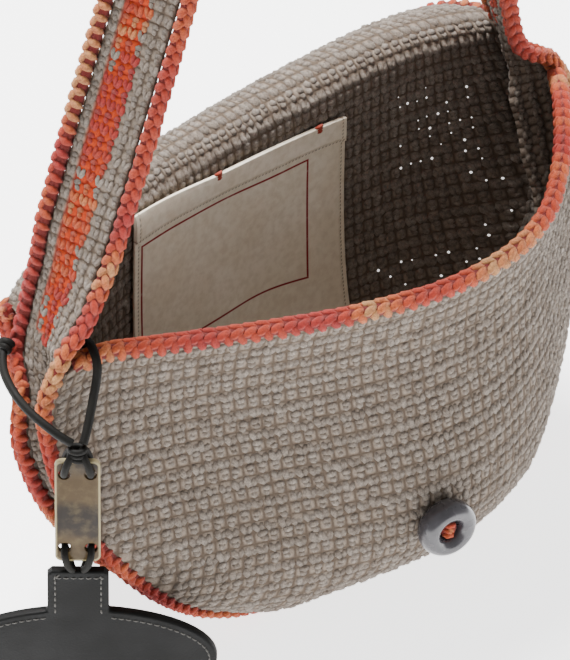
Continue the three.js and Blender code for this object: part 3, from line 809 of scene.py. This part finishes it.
def panelStitches(name, cloth, first, last, inset, clearance=None):
    p, s, row = stitchRows(cloth, first, last, inset)
    if clearance is not None:
        keep = clearance(cloth.at(p, s))
        p, s, row = p[keep], s[keep], row[keep]
    centre, across, down, out = cloth.frame(p, s)
    slant = random.normal(0, 0.16, len(p))[:, None]
    grown = 1.07 + random.normal(0, 0.07, (len(p), 1))
    centre = centre + out * random.normal(0, 0.12, len(p))[:, None]
    frames = [centre, (across + down * slant) * grown, (down - across * slant) * grown, out]
    lot = random.random(len(p))
    parts = []
    for which, template in ((0, legTemplate), (1, barTemplate)):
        mine = row % 2 == which
        parts.append((template, [f[mine] for f in frames], lot[mine]))
    piece = repeated(name, parts, greyYarn, stitchRise)
    print(name, len(p), "stitches")
    return piece


def awayFrom(line, reach):
    # keeps what lies further than reach from a line
    def clear(points):
        keep = np.ones(len(points), bool)
        for start in range(0, len(points), 400):
            part = points[start:start + 400]
            keep[start:start + 400] = (np.linalg.norm(part[:, None] - line[None], axis=-1).min(1) > reach)
        return keep
    return clear


frontEdge = edgePoint(np.linspace(0, 1, 900, endpoint=False), 1)
rearEdge = edgePoint(np.linspace(0, 1, 900, endpoint=False), -1)


def groundCloth(name, cloth, first, last, thick, columns=110, count=90):
    # the thin cloth that the raised stitches stand on
    turns = np.linspace(math.pi, 0, columns)
    p = 169.5 * np.cos(turns)
    low, high = cloth.ends(p)
    low, high = np.maximum(low + 1.5, first), np.minimum(high - 1.5, last)
    share = np.linspace(0, 1, count)
    s = low[:, None] + np.maximum(high - low, 0.5)[:, None] * share[None]
    grid = np.repeat(p[:, None], count, 1)
    centre, _, _, out = cloth.frame(grid, s)
    points = (centre + out * thick / 2).reshape(-1, 3)
    flat = np.stack([grid.ravel(), s.ravel(), 0 * s.ravel()], -1)
    piece = meshFrom(name, points, gridFaces(columns, count), greyGround, flat=flat)
    thicken(piece, thick)
    return piece


frontGround = groundCloth("frontCloth", frontCloth, -5, 400, 2.2)
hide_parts("front_panel")
frontKnobs = panelStitches("frontStitches", frontCloth, 3, 400, 4.4, awayFrom(frontEdge, 5.6))

backGround = groundCloth("backCloth", backCloth, -400, 400, 2.2, count=150)
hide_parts("back_panel_flap")
wallKnobs = panelStitches("wallStitches", backCloth, -24, 400, 4.4, awayFrom(rearEdge, 5.4))
flapKnobs = panelStitches("flapStitches", backCloth, -400, -24, 4.4, awayFrom(rearEdge, 6.4))


# The band: gusset below the mouth's corners, strap above them, striped on the strap alone
bandStitch = {
    "columns": 6, "down": 5.9, "jitter": 0.2, "across": 0.84, "along": 1.05,
    "stripe": 2, "stripeAfter": 26, "stripeBefore": 4, "taper": 42.0,
}
bandShares = np.linspace(0, 1, 4001)
bandReachAll = reachAlong(through(bandLine, True, bandShares))
bandLength = bandReachAll[-1]
bandInner = bag["bandReach"] - bag["braid"] + 0.6


def bandShare(length):
    return np.interp(length % bandLength, bandReachAll, bandShares)


def bandFrames(length, c):
    t = bandShare(length)
    centre = bandPoint(t, c)
    down = unit(bandPoint(bandShare(length + 2), c) - bandPoint(bandShare(length - 2), c))
    across = unit(bandPoint(t, c + 0.8) - bandPoint(t, c - 0.8))
    return centre, across, down, unit(np.cross(across, down))


def dyeAt(length, seed, long=26.0):
    # the dye changes along the yarn in patches
    at = length / long
    first = np.floor(at).astype(int)
    table = np.random.default_rng(seed).random(4000)
    part = at - first
    part = part * part * (3 - 2 * part)
    value = table[first % 4000] * (1 - part) + table[(first + 1) % 4000] * part
    return np.clip(0.1 + value * 0.8, 0, 1)


cornerLength, leftLength = np.interp([cornerShare, 1 - cornerShare], bandShares, bandReachAll)
stitchWide = 2 * bandInner / bandStitch["columns"]
middleColumn = (bandStitch["columns"] - 1) / 2


def bandPlan():
    # of each stitch: length along the band, across, row, whether striped, where on the dyed yarn
    rowCount = 2 * round(bandLength / bandStitch["down"] / 2)
    jag, wander, cells = np.random.default_rng(3), np.ones(2), []
    for row in range(rowCount):
        if row % 2 == 0:
            wander = jag.choice([0, 1, 1, 1], 2)
        here = row * bandLength / rowCount
        first, last = cornerLength + bandStitch["stripeAfter"], leftLength - bandStitch["stripeBefore"]
        onStrap = min(here - first, last - here)
        thinned = 0 if onStrap > bandStitch["taper"] / 2 else 1
        low, high = bandStitch["stripe"] - wander[0] + thinned, bandStitch["stripe"] + wander[1] - thinned
        for column in range(bandStitch["columns"]):
            inStripe = low <= column <= high or (thinned and column == bandStitch["stripe"])
            striped = float(onStrap > 0 and inStripe)
            cells.append((here, (column - middleColumn) * stitchWide, row, striped, here + column * 5.0))
    return np.array(cells)


bandCells = bandPlan()
bandParts = []
for which, template in ((0, legTemplate), (1, barTemplate)):
    lengths, cs, _, striped, dyeAlong = bandCells[bandCells[:, 2] % 2 == which].T
    centre, across, down, out = bandFrames(lengths + random.normal(0, bandStitch["jitter"], len(lengths)), cs)
    tilt = random.normal(0, 0.12, (len(cs), 1))
    wide, tall = bandStitch["across"], bandStitch["along"]
    frames = (centre, (across + down * tilt) * wide, (down - across * tilt) * tall, out)
    dyes = {"striped": striped, "dye": dyeAt(dyeAlong, 21, 17.0)}
    bandParts.append((template, frames, random.random(len(cs)), dyes))
bandKnobs = repeated("bandStitches", bandParts, stripedYarn, stitchRise)
print("band", len(bandCells), "stitches,", round(bandLength), "mm long")


def bandGround():
    around, wide, thick = 520, 15, 2.0
    length = np.linspace(0, bandLength, around, endpoint=False)
    c = np.linspace(-bandInner, bandInner, wide)
    lengthGrid, cGrid = np.repeat(length[:, None], wide, 1), np.repeat(c[None], around, 0)
    centre, _, _, out = bandFrames(lengthGrid, cGrid)
    points, faces = (centre - out * thick / 2).reshape(-1, 3), []
    for i in range(around):
        for j in range(wide - 1):
            a, b = i * wide + j, ((i + 1) % around) * wide + j
            faces.append((a, b, b + 1, a + 1))
    flat = np.stack([cGrid.ravel(), lengthGrid.ravel(), 0 * cGrid.ravel()], -1)
    onStrap = np.minimum(lengthGrid - cornerLength - 30, leftLength - 8 - lengthGrid).ravel()
    stripeMiddle = (bandStitch["stripe"] - middleColumn) * stitchWide
    striped = ((onStrap > 0) & (abs(cGrid.ravel() - stripeMiddle) < 1.3 * stitchWide)).astype(float)
    piece = meshFrom("bandCloth", points, faces, greyGround, flat=flat, striped=striped)
    thicken(piece, thick)
    return piece


bandCloth = bandGround()
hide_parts("gusset_strap")


# Edgings: a chain along the outside and slanting teeth that reach over the cloth's two faces
braidStitch = {
    "pitch": 6.1, "apart": 0.62, "ring": 2.55, "core": 3.2,
    "chain": [(1.7, -3.9, -1.2), (0.75, -1.5, 0.25), (-0.6, 1.5, 0.35), (-1.6, 4.0, -1.1)],
    "chainRadii": [0.75, 1.8, 1.85, 0.75],
    "tooth": [(0.9, -2.4, 0.1), (0.3, 0.9, 0.5), (-0.3, 3.4, 0.0), (-0.7, 5.5, -0.9)],
    "toothRadii": [1.5, 2.35, 1.9, 0.8],
}


def edging(name, node, line, closed, into, faces, seed, long=24.0, yarn=None, teeth=1.0, slant=0.12):
    # line: points along the edge; into and faces: for both faces, which way the cloth lies and faces
    yarn = yarn or dyedYarn
    tracks = [line, *into, *faces]
    if closed:
        tracks = [np.vstack([track, track[:1]]) for track in tracks]
    reach = reachAlong(tracks[0])
    length = reach[-1]
    count = max(2, round(length / braidStitch["pitch"]))

    def pick(k, at):
        at = at % length if closed else at
        return np.stack([np.interp(at, reach, tracks[k][:, j]) for j in range(3)], -1)
    def frameAt(at):
        centre, tangent = pick(0, at), unit(pick(0, at + 0.6) - pick(0, at - 0.6))
        flat = lambda v: unit(v - tangent * (v * tangent).sum(-1, keepdims=True))
        return centre, tangent, [flat(pick(k, at)) for k in (1, 2)], [flat(pick(k, at)) for k in (3, 4)]

    parts = []
    middle = (np.arange(count) + 0.5) * length / count
    for way in (-1, 1):
        centre, tangent, inside, face = frameAt(middle)
        out = unit(-(inside[0] + inside[1]) + 0.02)
        side = np.cross(tangent, out)
        radial = out * math.cos(braidStitch["apart"]) + side * way * math.sin(braidStitch["apart"])
        around = np.cross(tangent, radial)
        path = [(x * way, y, z) for x, y, z in braidStitch["chain"]]
        template = lobe(path, braidStitch["chainRadii"], 6, 0.95)
        proud = braidStitch["ring"] + random.normal(0, 0.1, (count, 1))
        frames = (centre + radial * proud, around, tangent, radial)
        parts.append((template, frames, random.random(count), {"dye": dyeAt(middle, seed, long)}))
    for k in (0, 1) if teeth > 0 else ():
        centre, tangent, inside, face = frameAt(middle + 0.4 * length / count)
        sway = random.normal(slant, 0.08, (count, 1))
        down = unit(inside[k] + tangent * sway)
        height = face[k] * 2.1 + random.normal(0, 0.1, (count, 1)) * face[k]
        template = lobe(braidStitch["tooth"], braidStitch["toothRadii"], 6, 0.85)
        tall = teeth * (1 + random.normal(0, 0.06, (count, 1)))
        frames = (centre + height, np.cross(down, face[k]), down * tall, face[k])
        parts.append((template, frames, random.random(count), {"dye": dyeAt(middle, seed, long)}))
    piece = repeated(name, parts, yarn, lambda points: np.clip((points[:, 2] + 1.3) / 2.6, 0, 1))
    middleLine = pick(0, np.linspace(0, length, count * 2 + 1))
    core = coreTube(name + "Core", middleLine, closed, braidStitch["core"], yarn)
    joined = joinPieces(piece, core)
    print(name, count, "stitches")
    if node:
        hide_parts(node)
    return joined


def seamSides(way, surface, skip):
    # for one edge of the band: which way band and panel lie, and which way they face outside
    t = np.linspace(0, 1, 1200, endpoint=False)
    line = edgePoint(t, way)
    ahead = unit(np.roll(line, -3, 0) - np.roll(line, 3, 0))
    band = unit(bandPoint(t, np.full(t.shape, way * 9.0)) - line)
    around = np.where(t > 0.5, t - 1, t)
    share = np.clip((around + cornerShare) / (2 * cornerShare), 0, 1)
    turn = math.pi * (1 - np.interp(share * rimReach[-1], rimReach, np.arange(181)) / 180)
    p, q = bag["halfWidth"] * np.cos(turn), bag["panelDepth"] * np.sin(turn)
    slope = unit(np.stack([np.cos(turn) / bag["halfWidth"], np.sin(turn) / bag["panelDepth"]], -1))
    pIn, qIn = p - 10 * slope[:, 0], np.maximum(q - 10 * slope[:, 1], 1)
    panel = unit(surface(pIn, qIn + skip(pIn)) - line)
    strapFace = unit(np.cross(ahead, band))
    inSeam = np.clip((cornerShare - abs(around)) / 0.008 + 0.5, 0, 1)[:, None]
    flat = lambda v, along: unit(v - along * (v * along).sum(-1, keepdims=True))
    panelFace, bandFace = flat(-band, panel), flat(-panel, band)
    same = np.sign((strapFace * panelFace).sum(-1, keepdims=True) + 1e-9)
    steady = np.sign(same[:600].sum() + 1e-9)
    into = [unit(band * (1 - inSeam) + panel * inSeam), band]
    faces = [unit(steady * strapFace * (1 - inSeam) + panelFace * inSeam),
             unit(-steady * strapFace * (1 - inSeam) + bandFace * inSeam)]
    inner = unit(band + panel)
    return line, into, faces, inner, abs(around) < cornerShare - 0.004


def bandEdging(name, node, sides, seed):
    line, into, faces, _, _ = sides
    return edging(name, node, line, True, into, faces, seed, teeth=0.72, slant=0.75)


frontSides = seamSides(1, frontPoint, lambda p: 0 * p)
rearSides = seamSides(-1, backPoint, wallTurn)
frontBraid = bandEdging("frontBraid", "front_edging", frontSides, 31)
rearBraid = bandEdging("rearBraid", "rear_edging", rearSides, 47)


def seamCover(name, sides):
    # the grey seam inside the bag, over the back of the edging
    line, into, faces, inner, inBag = sides
    keep = np.roll(inBag, 600)
    rolled = [np.roll(a, 600, 0)[keep] for a in (line, inner, *into)]
    raised = rolled[0] + rolled[1] * 3.4
    away = -rolled[1]
    return edging(name, None, raised, False, [away, away], [rolled[2], rolled[3]], 3, yarn=greyYarn, teeth=0)


seamCover("frontSeam", frontSides)
seamCover("rearSeam", rearSides)


def mouthEdging():
    shares = np.linspace(0.02, 0.98, 260)
    p = (shares * 2 - 1) * bag["halfWidth"]
    _, _, down, out = frontCloth.frame(p, np.full(260, 6.0))
    line = mouthLine(shares)
    return edging("mouthBraid", "mouth_edging", line, False, [down, down], [out, -out], 5, long=15.0)


def flapEdging():
    # round the flap, from behind the left corner of the mouth to behind the right one
    turns, ends, wide = np.linspace(math.pi, 0, 240), 30, float(bag["halfWidth"])
    p = np.concatenate([np.full(ends, -wide), wide * np.cos(turns), np.full(ends, wide)])
    q = np.concatenate([np.linspace(0, -14, ends), flapRim(wide * np.cos(turns)), np.linspace(-14, 0, ends)])
    path = backPoint(p, q)
    raised = 9 * np.clip(np.sin(np.concatenate([np.zeros(ends), turns, np.zeros(ends)])), 0, 1)
    into = unit(backPoint(p * 0.94, q + raised) - path)
    face = unit(np.cross(unit(np.gradient(path, axis=0)), into))
    keep = awayFrom(rearEdge, 8.2)(path)
    path, into, face = path[keep], into[keep], face[keep]
    return edging("flapBraid", "flap_edging", path, False, [into, into], [face, -face], 9)


mouthBraid = mouthEdging()
flapBraid = flapEdging()
# The pocket: a canvas sheet with a turned hem, sewn to the inside of the back
pocket = {
    "left": -84, "right": 63, "drop": 31, "tilt": 0.1, "depth": 136, "raised": 8.0, "thick": 1.3, "away": 3.6,
    "hem": 14.5, "frame": (-79, 38, 18.5, 95), "tacks": (-24, 45),
}


def canvasMaterial():
    paint = Paint("pocketCanvas")
    across, down, _ = paint.parts(paint.attribute("flat", "Vector"))
    twill = ((across + down * 0.8) * (2 * math.pi / 0.8)).sine() * 0.5 + 0.5
    slub = paint.noise(260.0, detail=4.0)
    patch = paint.noise(28.0, detail=3.0)
    colour = paint.mix(patch.between(0.3, 0.7), rgb(232, 220, 198), rgb(244, 235, 218))
    colour = paint.mix(slub.between(0.35, 0.7, 0.0, 0.35) + twill * 0.16, colour, rgb(200, 184, 158))
    left, right, top, low = pocket["frame"]
    frameAway = ((across - (left + right) / 2).size() - (right - left) / 2).most(
        (down - (top + low) / 2).size() - (low - top) / 2).size()
    ink = frameAway.between(0.45, 0.8, 1.0, 0.0) * slub.between(0.2, 0.42, 0.7, 1.0)
    colour = paint.mix(ink, colour, rgb(140, 40, 42))
    seam = (across - (pocket["right"] - 2.6)).size().least((across - (pocket["left"] + 2.6)).size())
    seam = seam.least((down - (pocket["hem"] - 1.2)).size())
    dashes = ((across + down) / 2.3).within().between(0.5, 0.62, 1.0, 0.0)
    thread = seam.between(0.25, 0.5, 1.0, 0.0) * dashes
    colour = paint.mix(thread * 0.75, colour, rgb(120, 104, 84))
    dip = seam.between(0.2, 1.6, -1.0, 0.0)
    relief = paint.bump(twill * 0.25 + slub * 0.5 + dip * 1.2, 0.0005, 0.7)
    paint.surface.inputs["Specular IOR Level"].default_value = 0.2
    return paint.finish(Base_Color=colour, Roughness=slub.between(0.2, 0.8, 0.85, 0.95), Normal=relief)


canvas = canvasMaterial()


def canvasSheet(name, first, last, away, thick, columns, count):
    # a sheet that lies on the wall, from first to last millimetres below the pocket's top
    p = np.repeat(np.linspace(pocket["left"], pocket["right"], columns)[:, None], count, 1)
    y = np.repeat(np.linspace(first, last, count)[None], columns, 0)
    q = pocket["drop"] - pocket["raised"] + pocket["tilt"] * p + y
    swell = 0.5 + 0.5 * np.sin(p * 0.085 + 0.6) * np.sin(y * 0.05 + p * 0.02)
    swell = swell * np.clip(y / 25, 0, 1)
    swell = swell * np.clip((p - pocket["left"]) / 14, 0, 1) * np.clip((pocket["right"] - p) / 14, 0, 1)
    points = backPoint(p, q) + facing(backPoint, p, q) * (away + thick / 2 + 1.6 * swell[..., None])
    flat = np.stack([p.ravel(), y.ravel(), 0 * y.ravel()], -1)
    piece = meshFrom(name, points.reshape(-1, 3), gridFaces(columns, count), canvas, flat=flat)
    thicken(piece, thick)
    roundEdges(piece, 0.3, 2)
    return piece


sheetDepth = pocket["depth"] + pocket["raised"]
pocketSheet = canvasSheet("pocketSheet", 0, sheetDepth, pocket["away"], pocket["thick"], 60, 60)
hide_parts("pocket")
pocketHem = canvasSheet("pocketHem", -0.4, pocket["hem"], pocket["away"] + 1.15, 1.0, 60, 8)
def sewnTacks():
    # three short stitches at each of the two places on the hem
    p = np.array(pocket["tacks"], float)
    q = pocket["drop"] - pocket["raised"] + pocket["tilt"] * p + 0.6
    _, across, down, out = backCloth.frame(p, q)
    frames = (backPoint(p, q) + out * 4.4, across, down, out)
    lots, dyes, parts = np.array([0.3, 0.6]), {"dye": np.array([0.45, 0.5])}, []
    for k in (-1, 0, 1):
        path = [(-2.2, k * 1.3, 0.0), (0.0, k * 1.3 - 0.3, 0.7), (2.2, k * 1.3, 0.0)]
        parts.append((lobe(path, [0.7, 0.95, 0.7], 7), frames, lots, dyes))
    piece = repeated("pocketTacks", parts, dyedYarn, lambda points: np.clip(points[:, 2] + 0.6, 0, 1))


sewnTacks()
print("pocket made")

# Glowing specks on the wall's inside, in its right-hand third: painted light, standing in for light showing
# through the gaps between loose stitches
specks = {
    # left, right, top and low of each patch, in millimetres of cloth, and the share of gaps that get a
    # glowing speck of painted light
    "patches": [
        (99, 139, 34, 76, 0.3), (132, 146, 76, 108, 0.3),
        (108, 148, 112, 165, 0.17), (82, 112, 118, 146, 0.25),
    ],
    "size": (0.35, 0.8),
}


# painted light: the specks glow, though no lamp shines through them
def paintedLightMaterial():
    paint = Paint("paintedLightGlow")
    paint.surface.inputs["Emission Strength"].default_value = 1.2
    glow = paint.noise(900.0).between(0.2, 0.8)
    return paint.finish(
        Base_Color=paint.mix(glow, rgb(225, 222, 218), rgb(250, 250, 250)), Roughness=0.8,
        Emission_Color=paint.mix(glow, (0.8, 0.79, 0.77, 1), (1.2, 1.2, 1.2, 1)),
    )


def paintedLightSpecks():
    across, tall, found = stitchPitch["across"], stitchPitch["down"], []
    for left, right, top, low, share in specks["patches"]:
        for column in range(int(left // across), int(right // across) + 1):
            for row in range(int(top // tall), int(low // tall) + 1):
                if random.random() < share:
                    found.append(((column + 0.5) * across, row * tall))
    p, s = np.array(found).T
    p = p + random.normal(0, 0.3, len(p))
    s = s + random.normal(0, 0.3, len(s))
    centre, right, down, out = backCloth.frame(p, s)
    wide = random.uniform(*specks["size"], (len(p), 1))
    template = lobe([(-0.4, 0, 0), (0.4, 0, 0)], [0.9, 0.9], 6, 0.3)
    frames = (centre + out * 1.75, right * wide, down * wide, out * 0.5)
    parts = [(template, frames, random.random(len(p)))]
    piece = repeated("paintedLightSpecks", parts, paintedLightMaterial(), lambda points: 0 * points[:, 0])
    print(len(p), "specks of light")


paintedLightSpecks()

# The button: a thick glossy ring, tied on through its hole
button = {"across": -5.0, "down": 143.0, "ring": 9.2, "hole": 4.6, "high": 6.2}
def glassMaterial():
    paint = Paint("buttonGlass")
    cloud = paint.noise(120.0, detail=2.0)
    paint.surface.inputs["Coat Roughness"].default_value = 0.08
    return paint.finish(
        Base_Color=paint.mix(cloud.between(0.3, 0.7), rgb(52, 50, 54), rgb(66, 64, 68)),
        Roughness=cloud.between(0.3, 0.7, 0.22, 0.3), Coat_Weight=cloud.between(0.2, 0.8, 0.15, 0.3),
        Normal=paint.bump(paint.noise(500.0), 0.00004, 0.4),
    )


def ringBead(foot, out):
    wall = button["ring"] - button["hole"]
    bpy.ops.mesh.primitive_torus_add(
        major_segments=72, minor_segments=28, major_radius=button["ring"] / 1000, minor_radius=wall / 1000,
    )
    piece = bpy.context.object
    piece.name = "buttonRing"
    bpy.ops.object.mode_set(mode="EDIT")
    bpy.ops.mesh.select_all(action="SELECT")
    bpy.ops.transform.resize(value=(1, 1, button["high"] / wall))
    bpy.ops.object.mode_set(mode="OBJECT")
    bpy.ops.object.shade_smooth()
    piece.location = Vector((foot + out * button["high"]) / 1000)
    piece.rotation_euler = Vector(out).to_track_quat("Z", "Y").to_euler()
    bpy.ops.object.transform_apply(location=True, rotation=True, scale=True)
    piece.data.materials.append(glassMaterial())
    bpy.ops.object.select_all(action="DESELECT")
    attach(piece, "root")
    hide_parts("button_bead")


def yarnTie(foot, out):
    # three strands over the ring's hole, one across them, and the yarn down through the hole
    across = unit(np.cross(out, [0.2, 0.1, 1.0]))
    frames = [np.array([v]) for v in (foot + out * 7.2, across, np.cross(out, across), out)]
    strands = []
    for y in (-2.3, 0.1, 2.4):
        path = [(-2.6, y, 0.0), (-1.0, y * 1.1, 2.0), (1.1, y * 1.1, 2.1), (2.6, y, 0.1)]
        strands.append((path, [0.9, 1.25, 1.25, 0.9]))
    strands.append(([(0.1, -3.1, 0.6), (0.3, -0.6, 3.0), (0.1, 2.9, 0.7)], [1.0, 1.3, 1.0]))
    parts = []
    for k, (path, radii) in enumerate(strands):
        parts.append((lobe(path, radii, 9), frames, np.array([0.2 * k]), {"dye": np.array([0.42 + 0.1 * k])}))
    knot = repeated("buttonTie", parts, dyedYarn, lambda points: np.clip(points[:, 2] / 2.5, 0, 1))
    down = np.array([foot + out * height for height in np.linspace(0.1, 8.2, 9)])
    piece = joinPieces(knot, coreTube("tieStem", down, False, 3.9, dyedYarn, 16))
    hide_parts("button_tie")


buttonP, buttonQ = np.array([button["across"]]), np.array([button["down"]])
buttonOut = facing(frontPoint, buttonP, buttonQ)[0]
buttonFoot = frontPoint(buttonP, buttonQ)[0] + buttonOut * 2.45
ringBead(buttonFoot, buttonOut)
yarnTie(buttonFoot, buttonOut)
print("button made")
print("button made")

def hornMaterial():
    # bands across the plate and a pale rim; x and y run from the plate's middle, in millimetres
    paint = Paint("horn")
    side, out, up = charm["plateAt"]
    worldX, worldY, worldZ = paint.parts(paint.place())
    x = ((worldX - side / 1000) - (worldY - (lean - out) / 1000)) * (1000 / math.sqrt(2))
    y = (worldZ - up / 1000) * 1000
    cloud = paint.noise(38.0, detail=4.0)
    bands = ((y * 0.16 + cloud * 5.0 + x * 0.03).sine() * 0.5 + 0.5).between(0.25, 0.95)
    rimX = (x.size() - (charm["plateWide"] / 2 - charm["rim"])).most(0.0)
    rimY = (y.size() - (charm["plateTall"] / 2 - charm["rim"])).most(0.0)
    rimAway = (rimX * rimX + rimY * rimY) ** 0.5
    colour = paint.mix(bands, rgb(66, 51, 28), rgb(24, 15, 7))
    colour = paint.mix(paint.noise(240.0, detail=3.0).between(0.4, 0.8, 0.0, 0.35), colour, rgb(98, 85, 57))
    colour = paint.mix(rimAway.between(2.0, 2.7) * 0.75, colour, rgb(160, 148, 112))
    paint.surface.inputs["Coat Roughness"].default_value = 0.12
    paint.surface.inputs["Specular IOR Level"].default_value = 0.15
    return paint.finish(
        Base_Color=colour, Roughness=cloud.between(0.3, 0.7, 0.28, 0.42),
        Coat_Weight=cloud.between(0.2, 0.8, 0.0, 0.06), Normal=paint.bump(paint.noise(600.0), 0.00005, 0.4),
    )


def plateOfHorn():
    # a copy of the plate's solid with eased edges
    piece = nodes["charm_plate"].copy()
    piece.data = nodes["charm_plate"].data.copy()
    piece.name, piece.parent = "hornPlate", None
    for key in list(piece.keys()):
        del piece[key]
    bpy.context.collection.objects.link(piece)
    bpy.context.view_layer.objects.active = piece
    piece.select_set(True)
    bpy.ops.object.mode_set(mode="EDIT")
    bpy.ops.mesh.select_all(action="SELECT")
    bpy.ops.mesh.remove_doubles(threshold=0.00002)
    bpy.ops.mesh.dissolve_limited(angle_limit=0.03)
    bpy.ops.mesh.normals_make_consistent(inside=False)
    bpy.ops.object.mode_set(mode="OBJECT")
    roundEdges(piece, 0.5, 3)
    bpy.ops.object.shade_smooth_by_angle(angle=0.6)
    piece.data.materials.clear()
    piece.data.materials.append(hornMaterial())
    bpy.ops.object.select_all(action="DESELECT")
    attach(piece, "root")
    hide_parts("charm_plate")


plateOfHorn()
# The fob: a plain oval of thick leather with a neck, sewn round its edge
def fobOutline():
    middle, half = charm["fobUp"] - charm["plateAt"][2], charm["fobNeck"] / 2
    neckTop = -charm["plateTall"] / 2 - 5.5 - middle
    wide, tall = charm["fobWide"] / 2, charm["fobTall"] / 2
    turnTo = lambda x: math.acos((x - charm["fobShift"]) / wide)
    oval = np.linspace(turnTo(-half), 2 * math.pi + turnTo(half), 150)
    outline = np.vstack([
        [(-half + 2, neckTop)], [(-half, neckTop - 2)],
        np.stack([charm["fobShift"] + wide * np.cos(oval), tall * np.sin(oval)], -1),
        [(half, neckTop - 2)], [(half - 2, neckTop)],
    ])
    outline[:, 1] += middle
    return outline


def fobBody(outline):
    count, half = len(outline), charm["fobThick"] / 2
    points = np.vstack([np.c_[outline, np.full(count, half)], np.c_[outline, np.full(count, -half)]])
    faces = [tuple(range(count)), tuple(range(2 * count - 1, count - 1, -1))]
    faces += [(i, i + count, (i + 1) % count + count, (i + 1) % count) for i in range(count)]
    piece = meshFrom("charmFob", charmPoint(points), faces, fobLeather)
    piece.select_set(True)
    roundEdges(piece, 1.1, 3)
    bpy.ops.object.shade_smooth_by_angle(angle=0.7)
    return piece


def threadMaterial():
    paint = Paint("thread")
    twist = (paint.attribute("rise") * 9.0).sine() * 0.5 + 0.5
    # painted shade: the thread is darker in the grooves of its twist
    return paint.finish(
        Base_Color=paint.mix(twist, rgb(58, 56, 53), rgb(86, 83, 78)),
        Roughness=twist.between(0, 1, 0.55, 0.7), Normal=paint.bump(twist, 0.0001, 0.5),
    )


def fobStitches(outline):
    around = np.vstack([outline, outline[:1]])
    reach = reachAlong(around)
    onEdge = lambda at: np.stack([np.interp(at, reach, around[:, k]) for k in (0, 1)], -1)
    at = np.arange(0, reach[-1] - 2, charm["stitchPitch"])
    ahead = unit(onEdge(at + 1) - onEdge(at - 1))
    inset = onEdge(at) + np.stack([-ahead[:, 1], ahead[:, 0]], -1) * charm["stitchInset"]
    forward = charmPoint(np.c_[ahead, np.zeros(len(at))]) - charmPoint([(0, 0, 0)])
    template = lobe([(0, -1.05, -0.1), (0, 0, 0.2), (0, 1.05, -0.1)], [0.34, 0.42, 0.34], 6)
    parts = []
    for way in (1, -1):
        centre = charmPoint(np.c_[inset, np.full(len(at), way * charm["fobThick"] / 2)])
        out = np.repeat(charmPoint([(0, 0, way)]) - charmPoint([(0, 0, 0)]), len(at), 0)
        parts.append((template, (centre, np.cross(forward, out), forward, out), random.random(len(at))))
    return repeated("fobThread", parts, threadMaterial(), lambda points: points[:, 1])


fobEdge = fobOutline()
charmFob = joinPieces(
    fobBody(fobEdge), fobStitches(fobEdge),
    strandLoop(-1, -1, 1.6, 5, "fobLoopLeft"), strandLoop(1, -1, 1.6, 5, "fobLoopRight"),
)
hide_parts("charm_fob")
print("charm made")

# Floor and light
def floorMaterial():
    paint = Paint("studioFloor")
    paint.surface.inputs["Emission Strength"].default_value = 1.0
    tone = paint.noise(0.6).between(0.3, 0.7, 0.98, 1.0)
    return paint.finish(
        Base_Color=paint.mix(tone, rgb(240, 240, 240), rgb(247, 247, 247)), Roughness=0.85,
        Emission_Color=paint.mix(tone, (2.3, 2.3, 2.3, 1), (2.5, 2.5, 2.5, 1)),
    )


bpy.ops.mesh.primitive_plane_add(size=14, location=(0, 0, -0.0004))
floor = bpy.context.object
floor.name = "studioFloor"
floor.data.materials.append(floorMaterial())

light = {
    "sky": 0.6, "key": 150, "keySize": 0.7, "keyAt": (0.1, 0.75, 2.1),
    "fill": 0.5, "fillSize": 1.6, "fillAt": (-1.3, -1.5, 0.35),
}
world = bpy.data.worlds.new("studio")
world.use_nodes = True
world.node_tree.nodes["Background"].inputs["Color"].default_value = (1, 1, 1, 1)
world.node_tree.nodes["Background"].inputs["Strength"].default_value = light["sky"]
bpy.context.scene.world = world
for name, place, size, power in (
    ("key", light["keyAt"], light["keySize"], light["key"]),
    ("fill", light["fillAt"], light["fillSize"], light["fill"]),
):
    bpy.ops.object.light_add(type="AREA", location=place)
    lamp = bpy.context.object
    lamp.name = name
    lamp.data.size, lamp.data.energy = size, power
    lamp.rotation_euler = (Vector((0, 0, 0.1)) - Vector(place)).to_track_quat("-Z", "Y").to_euler()
